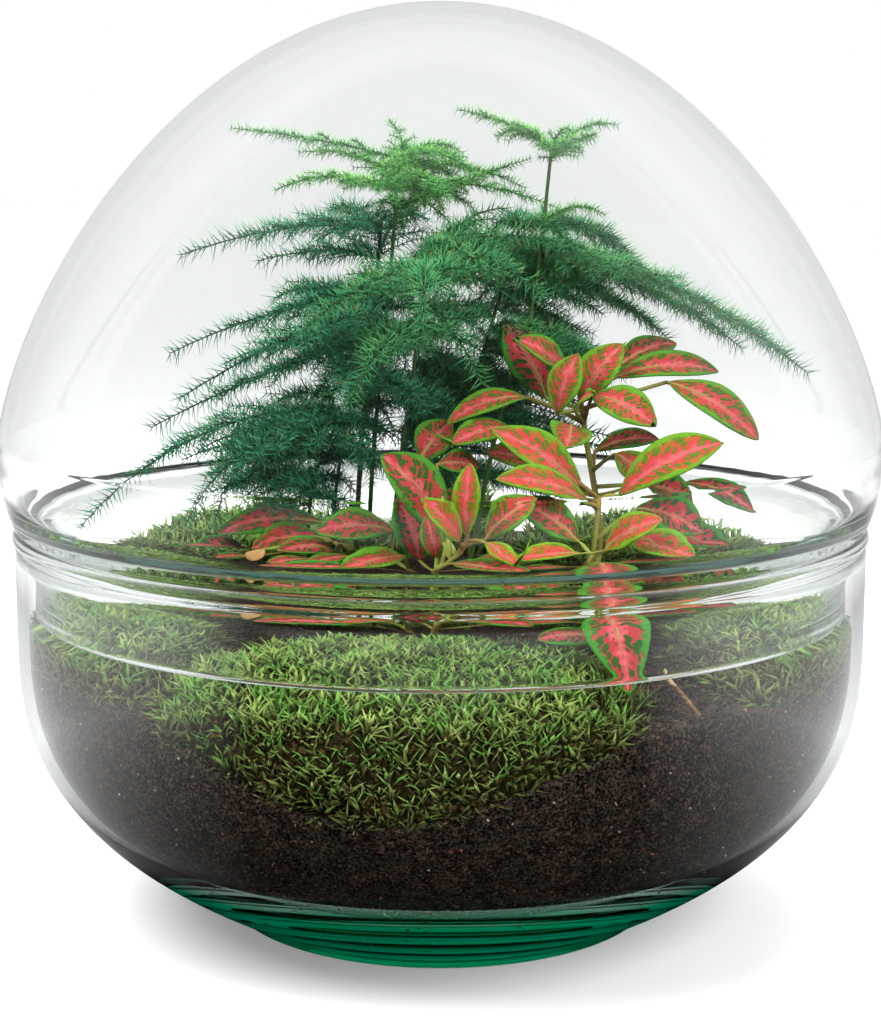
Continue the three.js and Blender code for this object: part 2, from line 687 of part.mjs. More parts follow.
function frondSolid(name, taken, seed) {
  const frond = FRONDS[name];
  const draw = seededDraw(seed);
  const others = taken.filter((stretch) => stretch.owner !== name);
  const stalk = rod(plantPath(frond), FERN_STEM.r, FERN_STEM.steps, FERN_STEM.sides);
  const pieces = [solidOf(stalk)];
  sprayCurves(frond).forEach((curve) => {
    const spray = needleSpray(curve, draw, (at, apex) => needleFits(at, apex, others));
    pieces.push(spray.solid);
    spray.needles.forEach(([at, apex]) => {
      taken.push({ owner: name, line: new THREE.Line3(at, apex), r: KEPT_R.needle });
    });
  });
  return fused(pieces);
}

// The whole terrarium

const terrarium = new THREE.Group();

function addPiece(name, geometry, material) {
  const mesh = new THREE.Mesh(geometry, material);
  mesh.name = name;
  terrarium.add(mesh);
}

const feet = [
  ...Object.values(NERVE_STEMS).map(({ foot }) => [foot, NERVE_STEM.r]),
  ...Object.values(FRONDS).map(({ foot }) => [foot, FERN_STEM.r]),
];
const twigLine = [TWIG.root, TWIG.top];
const holes = [
  ...feet.map(([foot, stemR]) => stemHole(foot, stemR)),
  solidOf(rod(twigLine, TWIG.r + TWIG.clear, 1)),
];

addPiece('glass_bowl', bowlShape(), GREEN_GLASS);
addPiece('glass_dome', domeShape(), CLEAR_GLASS);

const openSoil = soilBlock().intersect(roomInside(GAP));
const raisedSoil = openSoil.translate([0, 0, GAP]);
const drilled = (solid) => mainBody(holes.reduce((whole, hole) => whole.subtract(hole), solid));
addPiece('soil', geometryOf(drilled(openSoil)), POTTING_SOIL);

const mossRoom = roomInside(MOSS.clear);
Object.entries(CUSHIONS).forEach(([name, cushion]) => {
  const body = drilled(mossBlock(cushion).intersect(mossRoom).subtract(raisedSoil));
  addPiece(name, geometryOf(body), MOSS_GREEN);
});

addPiece('dry_twig', closedGeometry(rod(twigLine, TWIG.r, 3)), DRY_TAN);

const taken = [];
Object.entries(NERVE_STEMS).forEach(([name, plant], k) => {
  const { solid, blades } = leafyStem(plant, 31 + k);
  addPiece(name, geometryOf(solid), NERVE_LEAF);
  blades.flatMap(leafStretches).forEach((line) => {
    taken.push({ owner: name, line, r: KEPT_R.leaf });
  });
});
Object.entries(FRONDS).forEach(([name, frond]) => {
  const stem = new THREE.CatmullRomCurve3(plantPath(frond).map((p) => new THREE.Vector3(...p)));
  [stem, ...sprayCurves(frond)].forEach((curve) => {
    stretchesOf(curve, 10).forEach((line) => {
      taken.push({ owner: name, line, r: KEPT_R.stem });
    });
  });
});
Object.keys(FRONDS).forEach((name, k) => {
  const color = name === 'fern_top' || name === 'fern_tall' ? YOUNG_GREEN : FERN_GREEN;
  addPiece(name, geometryOf(frondSolid(name, taken, 71 + k)), color);
});

export default terrarium;
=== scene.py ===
# %% [markdown]
# # A glass plant terrarium
#
# A round glass bowl of soil and moss, planted with a lace fern and a red-netted nerve
# plant, and closed by an egg-shaped glass dome that rests on the rim. The solids are
# already settled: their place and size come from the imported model. Here they get the
# surfaces of the real thing, piece by piece. Lengths are written in millimetres, as on a
# maker's drawing, and each finished piece is scaled to metres.

import math
import random

import bmesh
import bpy
from mathutils import Matrix, Vector, noise


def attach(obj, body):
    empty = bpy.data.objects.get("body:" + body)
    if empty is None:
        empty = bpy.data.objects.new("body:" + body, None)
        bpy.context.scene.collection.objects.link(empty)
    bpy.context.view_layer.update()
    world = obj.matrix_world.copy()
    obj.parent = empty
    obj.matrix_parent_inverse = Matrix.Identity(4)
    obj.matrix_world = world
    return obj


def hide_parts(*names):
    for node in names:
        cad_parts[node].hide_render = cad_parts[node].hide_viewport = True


MM = 0.001
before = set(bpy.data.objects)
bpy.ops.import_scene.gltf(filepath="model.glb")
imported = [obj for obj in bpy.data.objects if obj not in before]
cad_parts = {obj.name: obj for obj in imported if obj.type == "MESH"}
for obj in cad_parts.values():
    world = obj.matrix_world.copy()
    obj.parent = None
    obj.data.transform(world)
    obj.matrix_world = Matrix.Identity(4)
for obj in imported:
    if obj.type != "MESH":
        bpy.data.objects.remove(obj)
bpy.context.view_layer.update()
print("pieces in the packed model:", len(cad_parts))

# %% [markdown]
# ## Camera
#
# The picture is taken from a little above the rim, about 65 cm away, with a long lens.
# The long lens keeps the round rim close to a true ellipse.

# %% Camera
CAMERA_PLACE = (0, -650, 228)
CAMERA_PITCH = 80.21
CAMERA_LENS = 79.73

camera = bpy.data.objects.new("camera", bpy.data.cameras.new("camera"))
bpy.context.collection.objects.link(camera)
camera.location = Vector(CAMERA_PLACE) * MM
camera.rotation_euler = (math.radians(CAMERA_PITCH), 0, 0)
camera.data.sensor_width = 36
camera.data.lens = CAMERA_LENS
camera.data.clip_start = 0.01
bpy.context.scene.camera = camera
print("camera is", round(camera.location.length, 3), "m from the base")

# %% [markdown]
# ## Floor, sky and lamps
#
# Glass shows what stands around it, so the surroundings matter more than the lamps.
# A bright sky behind and at the sides makes the glass clear and its edges grey. A mirror
# image of the camera's side is dark, which keeps milky reflections off the soil. Soft
# lamps give the leaves their shape, and are hidden from the mirrored rays.

# %% Floor
FLOOR_HALF = 6000


def finished(bm, name):
    """Scales a mesh drawn in millimetres to metres and makes an object of it."""
    bmesh.ops.scale(bm, vec=(MM, MM, MM), verts=bm.verts)
    mesh = bpy.data.meshes.new(name)
    bm.to_mesh(mesh)
    bm.free()
    made = bpy.data.objects.new(name, mesh)
    bpy.context.collection.objects.link(made)
    return made


floor_plane = bmesh.new()
bmesh.ops.create_grid(floor_plane, x_segments=1, y_segments=1, size=FLOOR_HALF)
floor = finished(floor_plane, "floor")

# %% Materials and their nodes


def new_material(name):
    """An empty node material with its Principled shader."""
    material = bpy.data.materials.new(name)
    material.use_nodes = True
    return material, material.node_tree.nodes["Principled BSDF"]


def add_node(tree, kind, **values):
    """Adds a node. Values are properties, or inputs by name, with _ for a space."""
    node = tree.nodes.new(kind)
    for key, value in values.items():
        if hasattr(node, key):
            setattr(node, key, value)
        else:
            node.inputs[key.replace("_", " ")].default_value = value
    return node


def feed(tree, sockets, values):
    """Fills sockets in their order, each from another socket, a number or a colour."""
    for socket, value in zip(sockets, values):
        if isinstance(value, bpy.types.NodeSocket):
            tree.links.new(value, socket)
        else:
            socket.default_value = (*value, 1) if isinstance(value, tuple) else value


def add_math(tree, operation, *values):
    """Adds a Math node whose inputs are sockets or numbers, and gives its output."""
    node = add_node(tree, "ShaderNodeMath", operation=operation)
    feed(tree, node.inputs, values)
    return node.outputs[0]


# %% Steps, mixes and places


def add_step(tree, value, low, high, start=0.0, end=1.0):
    """A smooth step from start at low to end at high."""
    node = add_node(tree, "ShaderNodeMapRange", interpolation_type="SMOOTHSTEP")
    feed(tree, node.inputs, (value, low, high, start, end))
    return node.outputs[0]


COLOUR_A, COLOUR_B, MIXED = 6, 7, 2


def add_mix(tree, share, first, second):
    """Mixes two colours, each a socket or a triple of numbers."""
    node = add_node(tree, "ShaderNodeMix", data_type="RGBA")
    sockets = [node.inputs[k] for k in (0, COLOUR_A, COLOUR_B)]
    feed(tree, sockets, (share, first, second))
    return node.outputs[MIXED]


def add_shader_mix(tree, share, first, second):
    node = add_node(tree, "ShaderNodeMixShader")
    feed(tree, node.inputs, (share, first.outputs[0], second.outputs[0]))
    return node


def add_place(tree):
    """Object coordinates, and their X, Y and Z."""
    place = add_node(tree, "ShaderNodeTexCoord").outputs["Object"]
    split = add_node(tree, "ShaderNodeSeparateXYZ")
    tree.links.new(place, split.inputs[0])
    return place, split.outputs


# %% Ramps, surfaces and bumps


def add_ramp(tree, value, stops):
    """A value in straight lines between stops: places from -1 to 1, and the values there."""
    node = add_node(tree, "ShaderNodeValToRGB")
    ramp = node.color_ramp.elements
    while len(ramp) < len(stops):
        ramp.new(1)
    for element, (_, height) in zip(ramp, stops):
        element.color = (height, height, height, 1)
    for k, (spot, _) in enumerate(stops):
        ramp[k].position = (spot + 1) / 2
    share = add_math(tree, "MULTIPLY", add_math(tree, "ADD", value, 1), 0.5)
    tree.links.new(share, node.inputs[0])
    return node.outputs[0]


def set_surface(tree, shader, colour, roughness, specular=0.5):
    """Feeds the shader a colour that varies, and sets its plain values."""
    tree.links.new(colour, shader.inputs["Base Color"])
    shader.inputs["Roughness"].default_value = roughness
    shader.inputs["Specular IOR Level"].default_value = specular


def add_bump(tree, shader, height, strength, distance):
    """A Bump node on the shader's normal."""
    node = add_node(tree, "ShaderNodeBump", Strength=strength, Distance=distance * MM)
    tree.links.new(height, node.inputs["Height"])
    tree.links.new(node.outputs[0], shader.inputs["Normal"])


# %% Floor material
# The floor glows more the farther off it is, until it is as white as the sky. A mirrored
# ray sees only some of its light, so the front of the glass stays clear: what it sees is
# set by ramps. Under the foot the floor shines only into rays that passed the glass.
GLOW_DISTANCES, FLOOR_GLOW = (0.25, 1.5), (0.20, 0.54)
FOOT_FREE_R = 0.085
# share of the floor's light that is mirrored: before the object by metres behind its
# middle, and round it by that plus the metres to either side
MIRRORED_FRONT = [(-0.74, 0), (-0.66, 0.2), (-0.50, 0.2), (-0.44, 0)]
MIRRORED_SIDES = [(-0.03, 0), (0.10, 0.18), (0.3, 0.48), (0.7, 0.32), (1.0, 0.85)]
SHADE_R = (0.085, 0.11)

floor_material, shader = new_material("pale floor")
tree = floor_material.node_tree
shader.inputs["Base Color"].default_value = (0.82, 0.82, 0.82, 1)
shader.inputs["Roughness"].default_value = 1
shader.inputs["Specular IOR Level"].default_value = 0
shader.inputs["Emission Color"].default_value = (1, 1, 1, 1)
place, spot = add_place(tree)
length = add_node(tree, "ShaderNodeVectorMath", operation="LENGTH")
tree.links.new(place, length.inputs[0])
away = length.outputs["Value"]
glow = add_step(tree, away, *GLOW_DISTANCES, *FLOOR_GLOW)
tree.links.new(glow, shader.inputs["Emission Strength"])

front = add_ramp(tree, spot["Y"], MIRRORED_FRONT)
aside = add_math(tree, "ADD", spot["Y"], add_math(tree, "ABSOLUTE", spot["X"]))
sides = add_ramp(tree, aside, MIRRORED_SIDES)
sides = add_math(tree, "MULTIPLY", sides, add_step(tree, away, *SHADE_R))
lit = add_math(tree, "MAXIMUM", front, sides)
path = add_node(tree, "ShaderNodeLightPath").outputs
under_foot = add_math(tree, "LESS_THAN", away, FOOT_FREE_R)
through = add_math(tree, "MINIMUM", path["Transmission Depth"], 1)
lit = add_math(tree, "MAXIMUM", lit, add_math(tree, "MULTIPLY", under_foot, through))
mirrored = add_math(tree, "MINIMUM", path["Glossy Depth"], 1)
dark = add_math(tree, "MULTIPLY", add_math(tree, "SUBTRACT", 1, lit), mirrored)
black = add_node(tree, "ShaderNodeBsdfDiffuse", Color=(0, 0, 0, 1))
seen = add_shader_mix(tree, dark, shader, black)
tree.links.new(seen.outputs[0], tree.nodes["Material Output"].inputs["Surface"])
floor.data.materials.append(floor_material)

# %% Sky
# It is white all round to the camera and through the glass. Leaves and mirrored rays
# meet a dark sky on the camera's side, and a slightly grey one behind the object.
SKY_TURNS = (-0.4, 0.25)
SKY_FRONT = (0.04, 0.04, 0.04)
SKY_BEHIND = (1.0, 1.0, 1.0)
MIRRORED_SKY = (0.78, 0.78, 0.78)

world = bpy.data.worlds.new("studio")
world.use_nodes = True
bpy.context.scene.world = world
sky = world.node_tree
direction = add_node(sky, "ShaderNodeTexCoord")
split = add_node(sky, "ShaderNodeSeparateXYZ")
sky.links.new(direction.outputs["Generated"], split.inputs[0])
behind = add_step(sky, split.outputs["Y"], *SKY_TURNS)
path = add_node(sky, "ShaderNodeLightPath").outputs
mirrored = add_math(sky, "MINIMUM", path["Glossy Depth"], 1)
seen = add_math(sky, "MAXIMUM", path["Is Camera Ray"], path["Is Transmission Ray"])
seen = add_math(sky, "MULTIPLY", seen, add_math(sky, "SUBTRACT", 1, mirrored))
front = add_mix(sky, seen, SKY_FRONT, SKY_BEHIND)
back = add_mix(sky, mirrored, SKY_BEHIND, MIRRORED_SKY)
sky.links.new(add_mix(sky, behind, front, back), sky.nodes["Background"].inputs[0])

# %% Lamps
# name: place, size and power of each soft box, all of which face the plants
LAMPS = {
    "key": ((-420, -360, 760), 420, 8.5),
    "fill": ((480, -420, 520), 420, 5.5),
    "top": ((60, 60, 900), 520, 6.5),
    "low left": ((-330, -420, 40), 260, 1.3),
    "low right": ((330, -420, 40), 260, 1.3),
    "rear": ((-160, 620, 380), 420, 3.0),
}
AIM = Vector((0, 0, 110))

for name, (place, size, power) in LAMPS.items():
    lamp = bpy.data.objects.new("lamp " + name, bpy.data.lights.new(name, "AREA"))
    bpy.context.collection.objects.link(lamp)
    lamp.data.size = size * MM
    lamp.data.energy = power
    lamp.visible_glossy = False
    lamp.visible_transmission = False
    lamp.location = Vector(place) * MM
    lamp.rotation_euler = (AIM - Vector(place)).to_track_quat("-Z", "Y").to_euler()
print("lamps:", ", ".join(LAMPS))

# %% Colours and light paths
# Each look through the bowl crosses up to a dozen glass surfaces.
GLASS_BOUNCES = 32

bpy.context.scene.view_settings.view_transform = "Standard"
cycles = bpy.context.scene.cycles
cycles.max_bounces = GLASS_BOUNCES
cycles.transmission_bounces = GLASS_BOUNCES
cycles.transparent_max_bounces = GLASS_BOUNCES
cycles.glossy_bounces = 12
cycles.diffuse_bounces = 3
cycles.caustics_reflective = False
cycles.caustics_refractive = False

# %% [markdown]
# ## The glass bowl and dome
#
# Both are blown in a mould and turned on their rim, so each is a shape of revolution: one
# outline of the wall, inside and outside, spun about the upright axis. A wall with real
# thickness is what bends the light at the edges, so it is modelled, not faked. The
# bowl's wall is even in its upper part and grows thicker towards the heavy base.

# %% Outline of the bowl
BASE_R, BELLY_R, BELLY_Z, SWELL, BOWL_WALL = 58, 122, 85, 2.8, 3
RIM_R, RIM_Z, BEAD = 120.5, 112.5, 2.2
FLOOR_Z, THICKER_FROM_Z, FLOOR_EXTRA = 8, 42, 5
HEEL, DENT, DENT_R = 2.5, 0.6, BASE_R - 7
SIDE_FROM_Z, SIDE_TO_Z, SIDE_POINTS = 3.5, 110, 44
GAP = 0.3


def bowl_outer_r(z):
    rise = 1 - min(z, BELLY_Z) / BELLY_Z
    return BASE_R + (BELLY_R - BASE_R) * (1 - rise**SWELL)


def bowl_inner_r(z):
    lean = (bowl_outer_r(z + 1) - bowl_outer_r(z - 1)) / 2
    share = max(THICKER_FROM_Z - z, 0) / (THICKER_FROM_Z - FLOOR_Z)
    return bowl_outer_r(z) - BOWL_WALL * math.hypot(1, lean) - FLOOR_EXTRA * share**2


def arc(r, z, radius, start, end, steps):
    """Points of an arc, with its angles in degrees."""
    turns = [math.radians(start + (end - start) * k / steps) for k in range(steps + 1)]
    return [(r + radius * math.cos(t), z + radius * math.sin(t)) for t in turns]


def wall_levels(low, closeness):
    """Levels up a wall, closer together near the foot, where it curves most."""
    shares = [k / SIDE_POINTS for k in range(SIDE_POINTS + 1)]
    return [low + (SIDE_TO_Z - low) * share**closeness for share in shares]


def bowl_outline():
    """The section of the bowl, from the middle of its dented base round to its floor."""
    foot = [(0, DENT), (DENT_R - 2, DENT), (DENT_R, 0)]
    heel = arc(bowl_outer_r(HEEL) - HEEL, HEEL, HEEL, -90, -10, 5)
    side = [(bowl_outer_r(z), z) for z in wall_levels(SIDE_FROM_Z, 1.3)]
    bead = arc(RIM_R, RIM_Z, BEAD, -30, 210, 12)
    inside = [(bowl_inner_r(z), z) for z in wall_levels(FLOOR_Z, 1.5)]
    return [*foot, *heel, *side, *bead, *inside[::-1], (0, FLOOR_Z)]


# %% Spin the bowl
GLASS_STEPS = 144


def spun(outline, steps):
    """A closed shape of revolution about the upright axis."""
    bm = bmesh.new()
    verts = [bm.verts.new((r, 0, z)) for r, z in outline]
    edges = [bm.edges.new(pair) for pair in zip(verts, verts[1:])]
    bmesh.ops.spin(
        bm, geom=verts + edges, cent=(0, 0, 0), axis=(0, 0, 1), angle=2 * math.pi,
        steps=steps, use_merge=True,
    )
    bmesh.ops.remove_doubles(bm, verts=bm.verts, dist=0.001)
    bmesh.ops.recalc_face_normals(bm, faces=bm.faces)
    return bm


# %% Finish a piece


def dressed(bm, name, slot, materials, node):
    """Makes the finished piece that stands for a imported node."""
    for face in bm.faces:
        face.smooth = True
    piece = finished(bm, name)
    for material in materials:
        piece.data.materials.append(material)
    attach(piece, "root")
    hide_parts(node)
    print(f"{name}: {sum(len(p.vertices) - 2 for p in piece.data.polygons)} triangles")


# %% [markdown]
# The glass takes a little light away over its depth, which draws its edges, and that is
# volume absorption. The base is emerald: colour from the melt gathers where the glass is
# thick, so the bowl's surface tints what passes it, most at the foot. Shadow rays go
# straight through, so the lamps reach the plants.

# %% Glass material
# the heights in metres between which the green of the foot fades out
FOOT_FADES = (0.024, 0.035)


def glass_material(name, tint, density, foot=None):
    """Clear glass that takes light away over its depth. tint is what it lets through.

    foot is the colour of the surface at the floor, which fades out up the wall.
    """
    material, shader = new_material(name)
    tree = material.node_tree
    shader.inputs["Base Color"].default_value = (1, 1, 1, 1)
    shader.inputs["Transmission Weight"].default_value = 1
    shader.inputs["Roughness"].default_value = 0
    shader.inputs["IOR"].default_value = 1.5
    if foot:
        clear = add_step(tree, add_place(tree)[1]["Z"], *FOOT_FADES)
        tree.links.new(add_mix(tree, clear, foot, (1.0, 1.0, 1.0)), shader.inputs["Base Color"])
    lets_through = add_node(tree, "ShaderNodeBsdfTransparent")
    shadow = add_node(tree, "ShaderNodeLightPath").outputs["Is Shadow Ray"]
    mix = add_shader_mix(tree, shadow, shader, lets_through)
    output = tree.nodes["Material Output"]
    tree.links.new(mix.outputs[0], output.inputs["Surface"])
    absorb = add_node(tree, "ShaderNodeVolumeAbsorption", Color=(*tint, 1), Density=density)
    tree.links.new(absorb.outputs[0], output.inputs["Volume"])
    return material


green_glass = glass_material("green glass", (0.25, 0.74, 0.62), 8, (0.0, 0.64, 0.22))
bowl = spun(bowl_outline(), GLASS_STEPS)
dressed(bowl, "blown_bowl", "green_glass", [green_glass], "glass_bowl")

# %% Outline of the dome
DOME_R, WIDE_Z, APEX_Z, EGG_ROUND, DOME_WALL = 126, 139, 261, 1.42, 2.8
COLLAR_R, COLLAR_WALL, COLLAR_Z, COLLAR_TOP_Z = 116.5, 3.1, 91.2, 111.5
COLLAR_MID_Z, LIP_R = 103, 1.8
SEAT_Z = RIM_Z + BEAD + GAP
FLARE_OUT, FLARE_IN = [(125.2, 126)], [(116.8, 117.6), (121.8, 124)]
EGG_STEPS = 56


def egg(inset, steps):
    """The dome's curve from the crown down to its widest ring."""
    points = []
    for k in range(steps + 1):
        turn = math.pi / 2 * k / steps
        rise = max(math.cos(turn), 0) ** (2 / EGG_ROUND) if k < steps else 0
        r = (DOME_R - inset) * math.sin(turn)
        points.append((r, WIDE_Z + (APEX_Z - inset - WIDE_Z) * rise))
    return points


def smooth_line(points, steps):
    """A smooth line through points in a plane or in space."""
    spots = [Vector(p) for p in points]
    spots = [2 * spots[0] - spots[1], *spots, 2 * spots[-1] - spots[-2]]
    line = []
    for a, b, c, d in zip(spots, spots[1:], spots[2:], spots[3:]):
        for k in range(steps):
            t = k / steps
            line.append(0.5 * (2 * b + (c - a) * t + (2 * a - 5 * b + 4 * c - d) * t**2
                               + (3 * b - a - 3 * c + d) * t**3))
    return [*line, spots[-2]]


# %% Section of the dome


def dome_outline():
    """The section of the dome: down its outside, round the collar's lip and up inside."""
    inner_r = COLLAR_R - COLLAR_WALL
    neck_out = [
        (DOME_R, WIDE_Z), *FLARE_OUT, (RIM_R + 1.9, SEAT_Z + 1.4), (RIM_R, SEAT_Z),
        (RIM_R - 2.1, SEAT_Z - 0.4), (COLLAR_R, COLLAR_TOP_Z), (COLLAR_R, COLLAR_MID_Z),
    ]
    neck_in = [
        (inner_r, COLLAR_MID_Z), (inner_r, COLLAR_TOP_Z + 0.5), *FLARE_IN,
        (DOME_R - DOME_WALL, WIDE_Z),
    ]
    lip = arc(COLLAR_R - COLLAR_WALL / 2, COLLAR_Z + LIP_R, LIP_R, 20, -200, 10)
    outside, inside = egg(0, EGG_STEPS), egg(DOME_WALL, EGG_STEPS)[::-1]
    return [*outside[:-1], *smooth_line(neck_out, 4), *lip, *smooth_line(neck_in, 4), *inside[1:]]


# %% Spin the dome
clear_glass = glass_material("clear glass", (0.15, 0.60, 0.54), 9)
dome = spun(dome_outline(), GLASS_STEPS)
dressed(dome, "blown_dome", "clear_glass", [clear_glass], "glass_dome")

# %% [markdown]
# ## Soil
#
# The soil fills the bowl up to the glass. Its side is what shows through the wall, so it
# follows the inner curve of the bowl, and its top is a gentle field with a scoop behind
# the front glass. A disc and a wall are spun in plain coordinates first, and then each
# ring is moved to its place. Small hollows are pressed into the side, as crumbs leave
# gaps against the glass.

# %% Height of the ground
SOIL_LEVEL, SOIL_SLOPE = 81, 0.05
# rises and scoops: where, how wide and deep, and how high
SOIL_RISES = [
    (0, -5, 50, 50, 6), (60, -105, 25, 25, 4), (-85, -80, 20, 20, 3), (-18, -120, 35, 24, -19),
]


def soil_height(x, y):
    height = SOIL_LEVEL + SOIL_SLOPE * y
    for at_x, at_y, wide, deep, rise in SOIL_RISES:
        across = (x - at_x) ** 2 / (2 * wide**2)
        along = (y - at_y) ** 2 / (2 * deep**2)
        height += rise * math.exp(-across - along)
    return height


def crumbs(place, size, seed=0):
    """Noise from -1 to 1 whose lumps are about so many millimetres wide."""
    return noise.noise(Vector(place) / size + Vector((seed, 0, 0)))


# %% Skin of the soil
SOIL_STEPS, TOP_RINGS, SIDE_RINGS, FLOOR_RINGS = 288, 46, 36, 6
# lumps of the ground: height, width and layer of noise
GROUND_LUMPS = [(0.9, 3.2, 0), (1.2, 8, 9)]
HOLLOW_DEEP, HOLLOW_WIDE = 0.9, 2.6
# the plain disc of the ground lies at 2, the wall runs from 1 to 0, the floor lies at -1
GROUND_PART, FLOOR_PART = 2, -1
GROUND_ABOVE, WALL_ABOVE = 1.5, 0


def soil_edge(turn):
    """Where the ground meets the glass in one direction: radius and height."""
    height = SOIL_LEVEL
    for _ in range(4):
        edge_r = bowl_inner_r(height) - GAP
        height = soil_height(edge_r * math.cos(turn), edge_r * math.sin(turn))
    return edge_r, height


def place_soil(vert):
    """Moves a point of the plain disc and wall to its place in the bowl."""
    turn = math.atan2(vert.co.y, vert.co.x)
    share = math.hypot(vert.co.x, vert.co.y)
    edge_r, edge_z = soil_edge(turn)
    part = vert.co.z
    if part > GROUND_ABOVE:
        x, y = share * edge_r * math.cos(turn), share * edge_r * math.sin(turn)
        lumps = sum(high * crumbs((x, y, layer), wide) for high, wide, layer in GROUND_LUMPS)
        vert.co = (x, y, soil_height(x, y) + lumps * min(1, 8 * (1 - share)))
        return
    z = FLOOR_Z + GAP
    r = share * (bowl_inner_r(z) - GAP)
    if part >= WALL_ABOVE:
        z += (edge_z - z) * part
        r = bowl_inner_r(z) - GAP
        spot = (r * math.cos(turn), r * math.sin(turn), z)
        r -= HOLLOW_DEEP * max(0, crumbs(spot, HOLLOW_WIDE)) * min(1, 8 * part)
    vert.co = (r * math.cos(turn), r * math.sin(turn), z)


soil = spun(
    [(k / TOP_RINGS, GROUND_PART) for k in range(TOP_RINGS)]
    + [(1, 1 - k / SIDE_RINGS) for k in range(SIDE_RINGS)]
    + [(1 - k / FLOOR_RINGS, FLOOR_PART) for k in range(FLOOR_RINGS + 1)],
    SOIL_STEPS,
)
for vert in soil.verts:
    place_soil(vert)
print("the ground lies", round(soil_height(0, 0)), "mm up in the middle")

# %% [markdown]
# Bits of white perlite, bark and straw are what make potting soil look like potting soil.
# Each is a rough pebble of twenty faces. They lie on the ground and against the glass.

# %% Copies of a small shape


def pebble(stretch, seed):
    """A rough pebble about 1 mm across before its stretch."""
    bm = bmesh.new()
    bmesh.ops.create_icosphere(bm, subdivisions=1, radius=0.5)
    for vert in bm.verts:
        vert.co *= 1 + 0.35 * noise.noise(vert.co * 2 + Vector((seed, 0, 0)))
    bmesh.ops.scale(bm, vec=stretch, verts=bm.verts)
    return bm


def as_mesh(bm, material_index=0):
    """A mesh to be copied many times, with its smooth faces in one material."""
    for face in bm.faces:
        face.smooth = True
        face.material_index = material_index
    mesh = bpy.data.meshes.new("shape")
    bm.to_mesh(mesh)
    bm.free()
    return mesh


def stamp(bm, mesh, matrix):
    """Adds a copy of the mesh at the matrix."""
    mesh.transform(matrix)
    bm.from_mesh(mesh)
    mesh.transform(matrix.inverted())


def add_part(bm, part, material_index=0, matrix=Matrix()):
    """Adds a part that is needed only once."""
    mesh = as_mesh(part, material_index)
    stamp(bm, mesh, matrix)
    bpy.data.meshes.remove(mesh)


def turned(direction, roll=0.0):
    """The rotation that stands +Z along a direction."""
    upright = Vector(direction).to_track_quat("Z", "Y").to_matrix().to_4x4()
    return upright @ Matrix.Rotation(roll, 4, "Z")


# %% Kinds of bits and where they lie
# material of the bit: how many, smallest, largest, shape
SOIL_MAT, PERLITE_MAT, BARK_MAT, STRAW_MAT = range(4)
GROUND_BITS = [
    (SOIL_MAT, 1500, 1.2, 3.4, (1, 0.8, 0.6)),
    (BARK_MAT, 160, 1.0, 2.6, (1.6, 0.6, 0.4)),
    (PERLITE_MAT, 40, 0.8, 1.6, (1, 0.9, 0.8)),
    (STRAW_MAT, 30, 1.4, 2.4, (3.2, 0.16, 0.16)),
]
GLASS_BITS = [
    (BARK_MAT, 520, 0.6, 1.9, (1.4, 0.7, 0.5)),
    (PERLITE_MAT, 170, 0.35, 1.0, (1, 0.9, 0.8)),
    (STRAW_MAT, 110, 0.7, 1.4, (2.6, 0.25, 0.25)),
]


def random_turn(draw):
    turn = draw.uniform(0, 2 * math.pi)
    axis = Vector([draw.uniform(-1, 1) for _ in range(3)]).normalized()
    return Matrix.Rotation(turn, 4, axis)


def ground_spot(draw, _size):
    turn, share = draw.uniform(-math.pi, math.pi), math.sqrt(draw.random()) * 0.985
    edge_r, _ = soil_edge(turn)
    x, y = share * edge_r * math.cos(turn), share * edge_r * math.sin(turn)
    return Vector((x, y, soil_height(x, y)))


def glass_spot(draw, size):
    turn = draw.uniform(-math.pi, math.pi)
    _, edge_z = soil_edge(turn)
    z = draw.uniform(FLOOR_Z + 6, edge_z)
    r = bowl_inner_r(z) - GAP - 0.2 * size
    return Vector((r * math.cos(turn), r * math.sin(turn), z))


# %% Scatter the bits
BITS_SEED, SHAPES = 3, 5

draw = random.Random(BITS_SEED)
for kinds, spot_of in ((GROUND_BITS, ground_spot), (GLASS_BITS, glass_spot)):
    for material_index, count, small, large, stretch in kinds:
        shapes = [as_mesh(pebble(stretch, seed), material_index) for seed in range(SHAPES)]
        for _ in range(count):
            size = draw.uniform(small, large)
            place = Matrix.Translation(spot_of(draw, size))
            spin = random_turn(draw)
            if spot_of is glass_spot:
                out = place.translation.to_track_quat("Z", "Y").to_matrix().to_4x4()
                spin = out @ Matrix.Rotation(draw.uniform(0, 6.28), 4, "Z")
            stamp(soil, draw.choice(shapes), place @ spin @ Matrix.Scale(size, 4))
print("bits in the soil:", sum(kind[1] for kind in GROUND_BITS + GLASS_BITS))

# %% [markdown]
# Grain is one node group for every earthy, mossy or dry surface: it gives masks and a
# height for bumps. Each material sets its own scale.

# %% Grain node group


